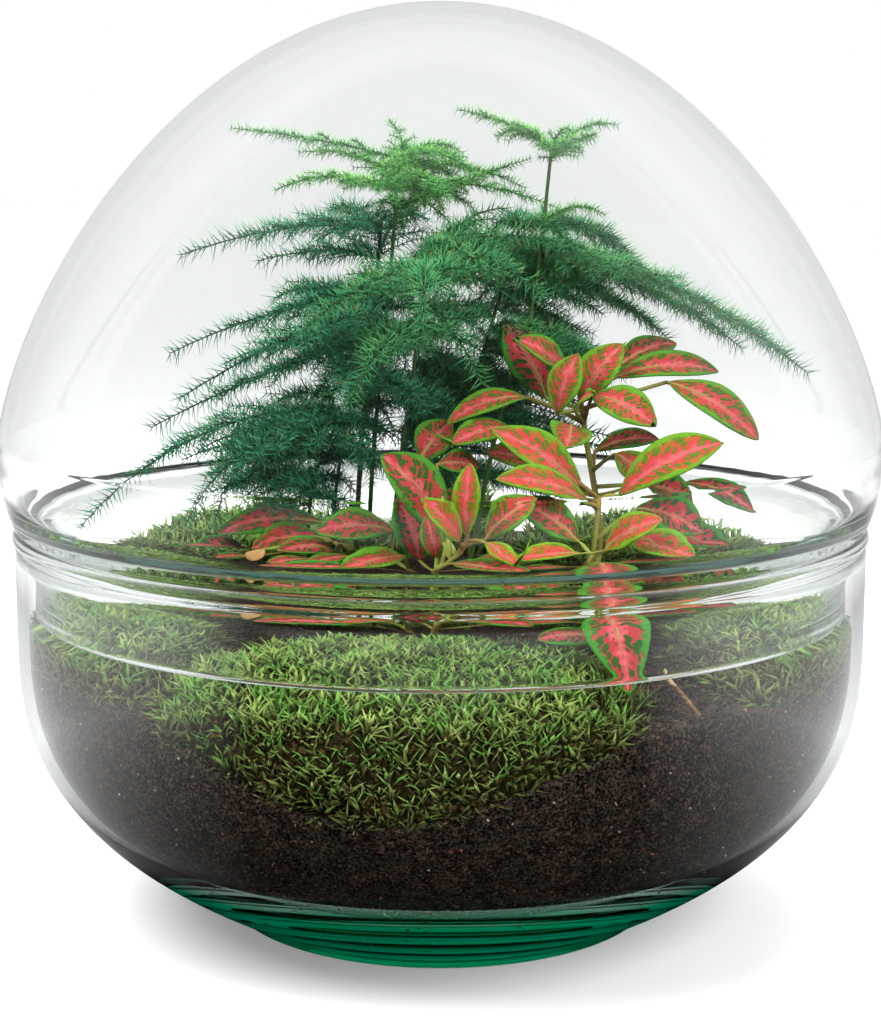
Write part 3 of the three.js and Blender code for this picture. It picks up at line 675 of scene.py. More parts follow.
def grain_group():
    """Textures of one scale: broad patches, a number for each speck, and a height."""
    group = bpy.data.node_groups.new("grain", "ShaderNodeTree")
    group.interface.new_socket("Scale", in_out="INPUT", socket_type="NodeSocketFloat")
    for name in ("Patches", "Specks", "Height"):
        group.interface.new_socket(name, in_out="OUTPUT", socket_type="NodeSocketFloat")
    inside = add_node(group, "NodeGroupInput")
    outside = add_node(group, "NodeGroupOutput")
    place = add_node(group, "ShaderNodeTexCoord").outputs["Object"]
    patches = add_node(group, "ShaderNodeTexNoise", Detail=4)
    specks = add_node(group, "ShaderNodeTexVoronoi", feature="F1")
    fine = add_node(group, "ShaderNodeTexNoise", Detail=6, Roughness=0.7)
    for texture, times in ((patches, 0.15), (specks, 1.0), (fine, 0.8)):
        scale = add_math(group, "MULTIPLY", inside.outputs[0], times)
        feed(group, (texture.inputs["Vector"], texture.inputs["Scale"]), (place, scale))
    split = add_node(group, "ShaderNodeSeparateColor")
    group.links.new(specks.outputs["Color"], split.inputs[0])
    rough = add_math(group, "MULTIPLY", specks.outputs["Distance"], 0.45)
    height = add_math(group, "ADD", fine.outputs[0], rough)
    feed(group, outside.inputs, (patches.outputs[0], split.outputs[0], height))
    return group


GRAIN = grain_group()


def add_grain(tree, scale):
    node = add_node(tree, "ShaderNodeGroup", node_tree=GRAIN)
    node.inputs["Scale"].default_value = scale
    return node.outputs


# %% Soil materials


def earthy_material(name, dark, light, accent, scale, bump, accent_share=0.86):
    """A crumbly surface of two tones with sparse specks in an accent colour."""
    material, shader = new_material(name)
    tree = material.node_tree
    grain = add_grain(tree, scale)
    clods = add_math(tree, "SUBTRACT", grain["Patches"], 0.5)
    tone = add_math(tree, "ADD", grain["Height"], add_math(tree, "MULTIPLY", clods, 0.35))
    base = add_mix(tree, add_step(tree, tone, 0.58, 0.98), dark, light)
    specks = add_step(tree, grain["Specks"], accent_share, accent_share + 0.03)
    colour = add_mix(tree, specks, base, accent)
    set_surface(tree, shader, colour, 0.9, 0.25)
    add_bump(tree, shader, grain["Height"], 0.9, bump)
    return material


soil_materials = [
    earthy_material(
        "potting soil", (0.0018, 0.0016, 0.0014), (0.115, 0.085, 0.066), (0.19, 0.10, 0.07),
        1500, 1.6, 0.92,
    ),
    earthy_material(
        "perlite", (0.42, 0.40, 0.36), (0.78, 0.76, 0.72), (0.5, 0.45, 0.4),
        1500, 0.3,
    ),
    earthy_material(
        "bark", (0.06, 0.026, 0.016), (0.22, 0.10, 0.06), (0.30, 0.17, 0.10),
        1200, 0.4,
    ),
    earthy_material(
        "straw", (0.28, 0.19, 0.10), (0.55, 0.42, 0.24), (0.6, 0.5, 0.3),
        900, 0.2,
    ),
]
dressed(soil, "soil_fill", "potting_soil", soil_materials, "soil")

# %% [markdown]
# ## Moss
#
# Each cushion is hundreds of upright shoots, and every shoot is a little star of narrow
# leaflets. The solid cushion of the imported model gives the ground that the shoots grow
# from. A few shoots are made of leaflets of six faces, and stamped all over the cushion
# at even distances. Low on its side the shoots are old and brown, and lean outwards.
# Where a cushion meets the glass its shoots are pressed flat against it, so all points
# are held inside the glass.

# %% One moss leaflet


def leaflet(length, width, bend):
    """A narrow leaflet of six faces, widest in the middle, that bends outwards."""
    bm = bmesh.new()
    bmesh.ops.create_uvsphere(bm, u_segments=3, v_segments=2, radius=1)
    bmesh.ops.scale(bm, vec=(width / 2, width / 5, length / 2), verts=bm.verts)
    bmesh.ops.translate(bm, vec=(0, 0, length / 2), verts=bm.verts)
    for vert in bm.verts:
        vert.co.y += bend * (vert.co.z / length) ** 2
    return bm


def with_height(bm, low, high):
    """Stores how high each point stands on its shoot, from 0 to 1."""
    layer = bm.verts.layers.float.new("along")
    for vert in bm.verts:
        vert[layer] = min(max((vert.co.z - low) / (high - low), 0), 1)
    return bm


# %% Moss shoots
LEAFLETS, LEAFLET_TURN, SHOOT_KINDS = 14, 2.4, 8
# least and most of a leaflet's length, width and bend
LEAFLET_SPANS = [(3.4, 5.6), (0.7, 1.1), (0.2, 1.6)]
# the heights at which a shoot is fully green, below which its foot colour shows, partly brown
# stem and partly painted shade: an old one stays brown up to its tips
SHOOT_H, OLD_SHOOT_H = 8.5, 13


def moss_shoot(seed, fresh_h):
    """A shoot about 9 mm high: lower leaflets hug the stem and the top ones spread out.

    fresh_h is the height at which it is fully green, so an old shoot stays brown.
    """
    draw = random.Random(seed)
    bm = bmesh.new()
    for k in range(LEAFLETS):
        share = k / (LEAFLETS - 1)
        blade = leaflet(*(draw.uniform(*span) for span in LEAFLET_SPANS))
        lean = math.radians(draw.uniform(8, 24) + 54 * share * draw.random())
        spin = Matrix.Rotation(k * LEAFLET_TURN + draw.uniform(-0.4, 0.4), 4, "Z")
        foot = Matrix.Translation((0, 0, 0.2 + 4.6 * share))
        add_part(bm, blade, 0, foot @ spin @ Matrix.Rotation(-lean, 4, "X"))
    return with_height(bm, 0, fresh_h)


moss_shoots = [as_mesh(moss_shoot(seed, SHOOT_H)) for seed in range(SHOOT_KINDS)]
old_shoots = [as_mesh(moss_shoot(seed, OLD_SHOOT_H)) for seed in range(SHOOT_KINDS)]
print("one moss shoot has", len(moss_shoots[0].polygons), "faces")

# %% Even spots on a surface


def node_mesh(name):
    """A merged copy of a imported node, in millimetres."""
    bm = bmesh.new()
    bm.from_mesh(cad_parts[name].data)
    bmesh.ops.remove_doubles(bm, verts=bm.verts, dist=1e-6)
    bmesh.ops.scale(bm, vec=(1 / MM, 1 / MM, 1 / MM), verts=bm.verts)
    bmesh.ops.triangulate(bm, faces=bm.faces)
    bmesh.ops.recalc_face_normals(bm, faces=bm.faces)
    return bm


def even_spots(bm, apart, tries, draw, wanted):
    """Random spots on the wanted faces, none closer than apart: (place, normal)."""
    faces = [face for face in bm.faces if wanted(face)]
    areas = [face.calc_area() for face in faces]
    taken, spots = {}, []
    for face in draw.choices(faces, weights=areas, k=tries):
        a, b = sorted((draw.random(), draw.random()))
        corners = [vert.co for vert in face.verts]
        place = a * corners[0] + (b - a) * corners[1] + (1 - b) * corners[2]
        cell = tuple(int(c // apart) for c in place)
        near = [taken.get((cell[0] + i, cell[1] + j, cell[2] + k))
                for i in (-1, 0, 1) for j in (-1, 0, 1) for k in (-1, 0, 1)]
        if any(other is not None and (other - place).length < apart for other in near):
            continue
        taken[cell] = place
        spots.append((place, face.normal.copy()))
    return spots


# %% Room inside the glass
FLARE_TOP_Z, FLARE_WIDE = 124, 8.4


def room_r(z):
    """The inner radius of the glass at a height, dome and collar included."""
    if z < COLLAR_Z - 0.5:
        return bowl_inner_r(max(z, FLOOR_Z))
    if z < COLLAR_TOP_Z:
        return COLLAR_R - COLLAR_WALL
    if z < FLARE_TOP_Z:
        share = (z - COLLAR_TOP_Z) / (FLARE_TOP_Z - COLLAR_TOP_Z)
        return COLLAR_R - COLLAR_WALL + FLARE_WIDE * share
    rise = min(max(z - WIDE_Z, 0) / (APEX_Z - DOME_WALL - WIDE_Z), 1)
    return (DOME_R - DOME_WALL) * math.sqrt(1 - rise**EGG_ROUND)


def keep_inside(bm, clear):
    """Pulls every point that would touch the glass back inside it."""
    for vert in bm.verts:
        r, limit = math.hypot(vert.co.x, vert.co.y), room_r(vert.co.z) - clear
        if r > limit:
            vert.co.x *= limit / r
            vert.co.y *= limit / r


# %% Moss materials
PALE_TIP = (0.42, 0.46, 0.20)


def shoot_material(name, low, high, young, scale):
    """Leafy shoots: a foot colour, partly brown stem and partly painted shade, another at the
    tip, and lighter patches.
    """
    material, shader = new_material(name)
    tree = material.node_tree
    along = add_node(tree, "ShaderNodeAttribute", attribute_name="along").outputs["Fac"]
    grain = add_grain(tree, scale)
    patches = add_step(tree, grain["Patches"], 0.42, 0.62)
    top = add_mix(tree, patches, high, young)
    top = add_mix(tree, add_step(tree, grain["Specks"], 0.90, 0.94), top, PALE_TIP)
    # painted shade: the foot colour, mixed in up each shoot, darkens the feet where the shoots
    # shade each other, as well as giving the brown of the stems
    colour = add_mix(tree, add_step(tree, along, 0.2, 0.9), low, top)
    set_surface(tree, shader, colour, 0.5, 0.35)
    return material


# the first colour is brown stem darkened with painted shade between the shoots
moss_green = shoot_material(
    "moss shoots", (0.075, 0.060, 0.022), (0.16, 0.38, 0.07), (0.38, 0.54, 0.14), 900,
)
moss_peat = earthy_material(
    "moss peat", (0.012, 0.010, 0.005), (0.06, 0.05, 0.018), (0.16, 0.10, 0.04), 1100, 0.8,
)

# %% Moss cushions
SHOOT_APART, SHOOT_ROOT, SHOOT_SIZES, MOSS_SEED = 3.3, 4.6, (0.95, 1.5), 40
# one try to place a shoot for each so many square millimetres
TRY_AREA = 1.5
# how far over the soil the shoots are old
OLD_BELOW = 7
CUSHIONS = [
    "moss_front", "moss_left", "moss_right", "moss_rear_left", "moss_rear_right", "moss_back",
]


def shows(face):
    """Whether shoots grow on a face: not on the underside."""
    return face.normal.z > -0.2


def moss_cushion(name, seed):
    """The peaty ground of a cushion with its shoots."""
    draw = random.Random(seed)
    bm = node_mesh(name)
    area = sum(face.calc_area() for face in bm.faces)
    spots = even_spots(bm, SHOOT_APART, int(area / TRY_AREA), draw, shows)
    bmesh.ops.subdivide_edges(bm, edges=bm.edges, cuts=1, use_grid_fill=True)
    for _ in range(2):
        bmesh.ops.smooth_vert(
            bm, verts=bm.verts, factor=0.5, use_axis_x=True, use_axis_y=True, use_axis_z=True,
        )
    for vert in bm.verts:
        vert.co.z -= 1.5 - 1.2 * crumbs(vert.co, 3)
    for face in bm.faces:
        face.material_index = 1
    with_height(bm, 0, 1)
    for place, normal in spots:
        lean = Vector((draw.uniform(-0.3, 0.3), draw.uniform(-0.3, 0.3), 1.3)) + 0.45 * normal
        size = draw.uniform(*SHOOT_SIZES)
        shoots = moss_shoots
        if place.z < soil_height(place.x, place.y) + OLD_BELOW * draw.uniform(0.5, 1.4):
            droop = Vector((draw.uniform(-0.8, 0.8), draw.uniform(-0.8, 0.8), -0.7))
            lean += droop + 0.3 * normal
            shoots = old_shoots
        foot = Matrix.Translation(place - SHOOT_ROOT * size * lean.normalized())
        matrix = foot @ turned(lean, draw.uniform(0, 6.28)) @ Matrix.Scale(size, 4)
        stamp(bm, draw.choice(shoots), matrix)
    keep_inside(bm, 0.25)
    print(name, "has", len(spots), "shoots")
    return bm


for k, name in enumerate(CUSHIONS):
    cushion = moss_cushion(name, MOSS_SEED + k)
    dressed(cushion, name + "_shoots", "moss", [moss_green, moss_peat], name)

# %% [markdown]
# ## Nerve plant
#
# A creeping plant with round, hairy stems and pairs of lance-shaped leaves. Each leaf is a
# flat grid whose points are moved to the outline of the blade: it arches along its midrib,
# its two halves rise to the margin, and the veins are sunk into it. The grid keeps its
# UV map, so the coloured net of veins can follow the blade. Solidify gives it thickness.

# %% Draws shared with the solids


def seeded_draw(seed):
    """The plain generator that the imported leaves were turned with."""
    state = seed
    while True:
        state = (state * 1664525 + 1013904223) % 2**32
        yield state / 2**32


# %% Lines along stems


def line_length(line):
    return sum((b - a).length for a, b in zip(line, line[1:]))


def place_on(line, share):
    """The point at a share of a line's length, and the direction there."""
    lengths = [(b - a).length for a, b in zip(line, line[1:])]
    left = share * sum(lengths)
    for (a, b), length in zip(zip(line, line[1:]), lengths):
        if left <= length:
            return a.lerp(b, left / length), (b - a).normalized()
        left -= length
    return line[-1].copy(), (line[-1] - line[-2]).normalized()


ROOT_DEPTH = 14


def plant_line(foot, stem):
    """A plant's own line, from its root in the soil to its top."""
    ground = soil_height(*foot)
    return smooth_line([(*foot, ground - ROOT_DEPTH), (*foot, ground + 2), *stem], 8)


def add_rods(bm, lines, material_index, sides=6):
    """Adds round rods. Each line is a list of points with their radii."""
    curve = bpy.data.curves.new("rods", "CURVE")
    curve.dimensions = "3D"
    curve.bevel_depth = 1
    curve.bevel_resolution = (sides - 4) // 2
    curve.use_fill_caps = True
    for line in lines:
        spline = curve.splines.new("POLY")
        spline.points.add(len(line) - 1)
        for point, (place, radius) in zip(spline.points, line):
            point.co = (*place, 1)
            point.radius = radius
    drawn = bpy.data.objects.new("rods", curve)
    rods = bmesh.new()
    rods.from_mesh(bpy.data.meshes.new_from_object(drawn))
    bmesh.ops.remove_doubles(rods, verts=rods.verts, dist=0.005)
    bmesh.ops.recalc_face_normals(rods, faces=rods.faces)
    bpy.data.objects.remove(drawn)
    bpy.data.curves.remove(curve)
    add_part(bm, rods, material_index)


# %% One leaf
LEAF_ACROSS, LEAF_ALONG = 10, 30
LEAF_ARCH, LEAF_CUP, LEAF_WAVE, LEAF_THICK = 0.13, 0.16, 0.03, 0.45
LEAF_BROAD = 1.3
VEIN_PAIRS = 7


def leaf_width(s):
    """The half width of the blade at a place from its base to its tip, 1 at the widest."""
    return max(math.sin(math.pi * s**1.1), 0) ** 0.72


def leaf_frame(base, tip, draw):
    """Directions of a blade: along it, out to its side, and out of its face."""
    along = Vector(tip) - Vector(base)
    heading = along.normalized()
    facing = Vector((0.5 * next(draw) - 0.25, -0.6, 0.75))
    normal = (facing - heading * facing.dot(heading)).normalized()
    return along, heading.cross(normal), normal


def leaf_blade(base, along, side, normal, width, age, seed):
    """A thin arched blade with sunk veins. age runs from 0, a young leaf, to 1."""
    bm = bmesh.new()
    bm.loops.layers.uv.new("leaf")
    bmesh.ops.create_grid(
        bm, x_segments=LEAF_ACROSS, y_segments=LEAF_ALONG, size=1, calc_uvs=True,
    )
    years = bm.verts.layers.float.new("age")
    half, length = LEAF_BROAD * width / 2, along.length
    for vert in bm.verts:
        u, s = vert.co.x, (vert.co.y + 1) / 2
        w = leaf_width(s)
        edge = abs(u)
        lift = LEAF_ARCH * length * 4 * s * (1 - s) + LEAF_CUP * half * edge**1.5 * w
        lift += LEAF_WAVE * width * edge**2 * math.sin(9 * s + 2.5 * u + seed)
        vein = math.cos(2 * math.pi * (VEIN_PAIRS * s - 1.3 * edge))
        lift -= 0.03 * half * max(vein, 0) ** 2 * w * (1 - edge**4)
        lift -= 0.04 * half * max(1 - edge * 4, 0)
        vert.co = Vector(base) + along * s + side * (u * half * w) + normal * lift
        vert[years] = age
    bmesh.ops.remove_doubles(bm, verts=bm.verts, dist=0.02)
    bmesh.ops.recalc_face_normals(bm, faces=bm.faces)
    bmesh.ops.solidify(bm, geom=bm.faces[:], thickness=LEAF_THICK)
    return bm


def stalk_rods(start, base, along, normal):
    """The stalk from the stem to the blade, and on as the rib under it."""
    line = [(start, 0.75), (start.lerp(base, 0.5) + normal * 0.6, 0.6)]
    for s, radius in ((0, 0.55), (0.15, 0.5), (0.35, 0.4), (0.6, 0.28), (0.8, 0.16)):
        arch = LEAF_ARCH * along.length * 4 * s * (1 - s) - 0.35
        line.append((base + along * s + normal * arch, radius))
    return line


# %% [markdown]
# The places of the leaves were read off the picture leaf by leaf, so they stay a list.
# Each stem has its foot, the points above it, and its leaves: the place on the stem, the
# base and the tip of the blade, its width and its age.

# %% Stems and leaves of the nerve plant
NERVE_STEMS = {
    "nerve_plant_top": ((46, -4), [[46, -3, 112], [42, -3, 137], [40, -3, 150]], [
        (0.95, (31, 5, 148), (19, 8, 170), 11, 0.9),
        (1.0, (37, -2, 155), (21, -10, 167), 8, 0.6),
        (0.95, (33, -12, 146), (39, -12, 163), 8, 0.3),
        (0.95, (40, -5, 148), (52, -3, 165), 9.5, 0.35),
        (0.9, (38, -13, 147), (43, -20, 153), 5, 0.2),
        (0.9, (43, -10, 151), (60, -22, 144), 9.5, 0.45),
        (1.0, (50, 8, 156), (70, 20, 163), 7.5, 0.8),
        (1.0, (50, 0, 155), (81, 8, 156), 8, 0.6),
        (0.95, (65, -2, 154), (91, -8, 138), 9, 0.55),
        (0.85, (37, -13, 143), (35, -24, 138), 9.5, 0.5),
        (0.9, (25, -6, 150), (2, -18, 144), 7, 0.5),
        (0.7, (45, 4, 133), (64, 8, 136), 6, 0.9),
        (0.72, (50, -8, 134), (59, -13, 126), 8.5, 0.5),
        (0.62, (60, 3, 123), (74, 5, 116), 10, 0.9),
        (0.45, (67, 8, 107), (86, 6, 100), 10, 0.9),
        (0.66, (73, 12, 122), (94, 15, 112), 7, 1.0),
    ]),
    "nerve_plant_middle": ((44, -33), [[42, -34, 105], [44, -30, 124]], [
        (1.0, (40, -26, 125), (14, -30, 144), 10, 0.25),
        (0.95, (41, -31, 123), (15, -42, 132), 8.5, 0.2),
        (1.0, (50, -28, 125), (78, -30, 140), 11.5, 0.2),
        (0.8, (57, -4, 117), (76, -8, 110), 11, 0.9),
        (0.95, (28, -14, 131), (13, -13, 135), 7, 0.6),
        (1.0, (20, -14, 142), (3, -24, 139), 7, 0.5),
    ]),
    "nerve_plant_front": ((34, -52), [[38, -51, 98], [41, -48, 111]], [
        (1.0, (38, -49, 112), (19, -57, 110), 6.5, 0.05),
        (1.0, (44, -48, 113), (59, -55, 123), 8, 0.1),
        (0.95, (51, -42, 116), (68, -58, 109), 9.5, 0.25),
        (1.0, (38, -42, 114), (21, -38, 125), 8.5, 0.7),
        (0.85, (43, -57, 108), (47, -96, 86), 13, 0.85),
        (0.8, (48, -48, 104), (68, -52, 104), 6.5, 0.7),
        (0.75, (35, -53, 103), (19, -61, 104), 6, 0.8),
        (0.4, (42, -66, 94), (25, -72, 95), 9, 0.9),
    ]),
    "nerve_plant_left": ((-1, -44), [[-1, -53, 102], [7, -54, 117]], [
        (1.0, (7, -54, 118), (8, -52, 138), 6, 0.0),
        (0.95, (5, -55, 117), (-5, -60, 129), 6.5, 0.05),
        (1.0, (12, -56, 117), (20, -67, 110), 5, 0.0),
        (0.9, (0, -34, 116), (-16, -38, 138), 14, 0.75),
        (0.85, (-1, -22, 133), (11, -21, 132), 7, 0.8),
        (0.85, (-6, -16, 133), (3, -13, 144), 9, 0.7),
        (0.7, (3, -18, 116), (6, -16, 126), 7, 0.8),
        (0.6, (-1, -45, 110), (-4, -45, 122), 5, 0.5),
        (0.75, (3, -56, 109), (24, -67, 102), 9, 0.75),
        (0.6, (28, -36, 105), (9, -41, 107), 7, 0.8),
        (0.6, (-6, -26, 104), (-12, -24, 124), 9, 0.9),
        (0.95, (12, -46, 116), (26, -45, 127), 8.5, 0.5),
    ]),
    "nerve_plant_trailing": ((-8, -22), [[-12, -20, 100], [-24, -14, 106], [-33, -8, 108]], [
        (1.0, (-34, -1, 112), (-66, 8, 107), 8, 0.8),
        (1.0, (-57, 8, 102), (-76, 12, 101), 5, 0.9),
        (0.6, (-13, -15, 112), (-35, -20, 113), 9, 0.7),
        (0.95, (-35, -5, 109), (-55, -6, 105), 7.5, 0.6),
        (0.9, (-30, -18, 107), (-46, -23, 108), 6, 0.8),
        (0.8, (-36, -24, 103), (-49, -34, 100), 6, 0.8),
        (0.6, (-25, -27, 106), (-37, -38, 103), 6, 0.7),
        (0.4, (-10, -36, 109), (-27, -52, 103), 9.5, 0.5),
        (0.3, (-17, -46, 101), (-50, -54, 101), 8, 0.95),
        (1.0, (-55, -10, 100), (-66, -14, 98), 5, 0.9),
        (0.95, (-50, -20, 108), (-54, -23, 99), 4.5, 2),
    ]),
}

# %% [markdown]
# The net of veins is painted from the UV map, so it bends with the blade. Young leaves are
# coral nearly to their edge, and old ones are dark green with a thin net. The age of each
# leaf is stored on its points, and one material reads it. An age of 2 is a withered leaf.

# %% Leaf material
CELLS_ACROSS, CELLS_ALONG = 6.4, 17.0
YOUNG_NET, YOUNG_NET_RIM = (0.55, 0.055, 0.050), (0.36, 0.14, 0.022)
OLD_NET = (0.40, 0.036, 0.048)
RIB_PINK, WITHERED = (0.62, 0.12, 0.13), (0.55, 0.30, 0.13)
YOUNG_CELL, OLD_CELL = (0.11, 0.19, 0.014), (0.010, 0.065, 0.016)
YOUNG_MARGIN, OLD_MARGIN = (0.16, 0.34, 0.022), (0.030, 0.20, 0.026)


def leaf_material():
    """A leaf whose net, cells and margin change their colour with its age."""
    material, shader = new_material("nerve leaf")
    tree = material.node_tree
    uv = add_node(tree, "ShaderNodeUVMap", uv_map="leaf")
    split = add_node(tree, "ShaderNodeSeparateXYZ")
    tree.links.new(uv.outputs[0], split.inputs[0])
    age = add_node(tree, "ShaderNodeAttribute", attribute_name="age").outputs["Fac"]
    place, spot = add_place(tree)
    wobble = add_node(tree, "ShaderNodeTexNoise", Scale=420, Detail=3)
    tree.links.new(place, wobble.inputs["Vector"])
    shift = add_math(tree, "SUBTRACT", wobble.outputs[0], 0.5)

    def sum_of(base, *terms):
        """The base and so many times each term."""
        for term, times in terms:
            base = add_math(tree, "ADD", base, add_math(tree, "MULTIPLY", term, times))
        return base

    # The veins slant forwards from the midrib, and the cells lie between them
    side = add_math(tree, "SUBTRACT", split.outputs[0], 0.5)
    edge = add_math(tree, "MULTIPLY", add_math(tree, "ABSOLUTE", side), 2)
    slant = add_math(tree, "SUBTRACT", split.outputs[1], add_math(tree, "MULTIPLY", edge, 0.17))
    across = sum_of(add_math(tree, "MULTIPLY", side, CELLS_ACROSS), (shift, 0.8))
    along = add_math(tree, "MULTIPLY", slant, CELLS_ALONG)
    cell_place = add_node(tree, "ShaderNodeCombineXYZ")
    drift = add_math(tree, "MULTIPLY", spot["X"], 40)
    feed(tree, cell_place.inputs, (across, along, drift))
    cells = add_node(tree, "ShaderNodeTexVoronoi", feature="F1", Scale=1, Randomness=0.85)
    tree.links.new(cell_place.outputs[0], cells.inputs["Vector"])

    # Cells grow with age and towards the margin, and run together there
    size = sum_of(0.37, (edge, 0.22), (age, 0.10), (shift, 0.35))
    inner = add_math(tree, "SUBTRACT", size, 0.10)
    inside = add_step(tree, cells.outputs["Distance"], size, inner)
    off_rib = add_step(tree, edge, 0.06, 0.20)
    fleck = add_math(tree, "MULTIPLY", inside, off_rib)
    ragged = sum_of(edge, (shift, 0.7))
    margin = add_step(tree, ragged, 0.70, 0.84)
    tips = add_math(tree, "ABSOLUTE", add_math(tree, "SUBTRACT", split.outputs[1], 0.5))
    margin = add_math(tree, "MAXIMUM", margin, add_step(tree, tips, 0.465, 0.49))

    outwards = add_step(tree, ragged, 0.25, 0.80)
    net = add_mix(tree, age, add_mix(tree, outwards, YOUNG_NET, YOUNG_NET_RIM), OLD_NET)
    rib = add_step(tree, add_math(tree, "ADD", edge, shift), 0.35, -0.05)
    net = add_mix(tree, rib, net, RIB_PINK)
    colour = add_mix(tree, fleck, net, add_mix(tree, age, YOUNG_CELL, OLD_CELL))
    colour = add_mix(tree, margin, colour, add_mix(tree, age, YOUNG_MARGIN, OLD_MARGIN))
    dry = add_step(tree, age, 1.2, 1.8)
    colour = add_mix(tree, dry, colour, WITHERED)
    set_surface(tree, shader, colour, 0.40, 0.35)
    quilt = add_math(tree, "SUBTRACT", inside, add_math(tree, "MULTIPLY", wobble.outputs[0], 0.6))
    add_bump(tree, shader, quilt, 0.6, 0.3)
    return material


# %% Stem material


def stem_material(name, low, high, scale):
    """A living stem whose colour runs in patches from low to high."""
    material, shader = new_material(name)
    tree = material.node_tree
    grain = add_grain(tree, scale)
    colour = add_mix(tree, add_step(tree, grain["Patches"], 0.35, 0.65), low, high)
    set_surface(tree, shader, colour, 0.5)
    add_bump(tree, shader, grain["Height"], 0.4, 0.3)
    return material


nerve_materials = [
    leaf_material(),
    stem_material("nerve stem", (0.24, 0.16, 0.05), (0.28, 0.34, 0.07), 500),
]
LEAF_MAT, NERVE_STEM_MAT = range(2)

# %% Leafy stems of the nerve plant
NERVE_STEM_R, SMALL_LEAF = 0.95, 8.2
HAIR_LONG = 0.9


def hair_mesh(material_index):
    """One hair, that stands along +Z."""
    bm = bmesh.new()
    bmesh.ops.create_cone(
        bm, segments=3, cap_ends=True, radius1=0.05, radius2=0, depth=HAIR_LONG,
        matrix=Matrix.Translation((0, 0, HAIR_LONG / 2)),
    )
    return as_mesh(bm, material_index)


def add_hairs(bm, line, radius, hair, draw, apart=0.5):
    """Short soft hairs all round a stem."""
    for _ in range(int(line_length(line) / apart)):
        spot, ahead = place_on(line, draw.random())
        out = ahead.orthogonal().normalized()
        out.rotate(Matrix.Rotation(draw.uniform(0, 6.28), 3, ahead))
        stamp(bm, hair, Matrix.Translation(spot + out * radius * 0.8) @ turned(out + 0.3 * ahead))


def leafy_stem(plant, seed):
    """A hairy stem with its leaves, each on a short stalk."""
    turns, draw = seeded_draw(seed), random.Random(seed)
    foot, stem, leaves = plant
    line = plant_line(foot, stem)
    bm = bmesh.new()
    radii = [NERVE_STEM_R * (1.15 - 0.35 * k / len(line)) for k in range(len(line))]
    rods = [list(zip(line, radii))]
    hair = hair_mesh(NERVE_STEM_MAT)
    for place, base, tip, width, age in leaves:
        base = Vector(base)
        along, side, normal = leaf_frame(base, tip, turns)
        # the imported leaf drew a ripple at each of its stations: these draws are passed over
        for _ in range(3 if width < SMALL_LEAF else 4):
            next(turns)
        blade = leaf_blade(base, along, side, normal, width, age, draw.random() * 6)
        add_part(bm, blade, LEAF_MAT)
        start, _ = place_on(line, place)
        rods.append(stalk_rods(start, base, along, normal))
        add_hairs(bm, [start, base], 0.6, hair, draw, 0.6)
    add_rods(bm, rods, NERVE_STEM_MAT, 8)
    add_hairs(bm, line, NERVE_STEM_R, hair, draw)
    keep_inside(bm, 0.4)
    return bm


NERVE_SEED = 31
for k, (name, plant) in enumerate(NERVE_STEMS.items()):
    leafy = leafy_stem(plant, NERVE_SEED + k)
    dressed(leafy, name + "_leaves", "nerve_leaf", nerve_materials, name)

# %% [markdown]
# ## Lace fern
#
# Asparagus fern has no leaves: thin green needles stand in whorls along wiry branches. The
# sprays arch from the tops of the stems. The needles of one whorl are spikes of four faces,
# stamped along every branch. Three habits show on this plant: plumes whose ends have no
# side branches, one long dense plume, and flat young sprays with short stout needles.

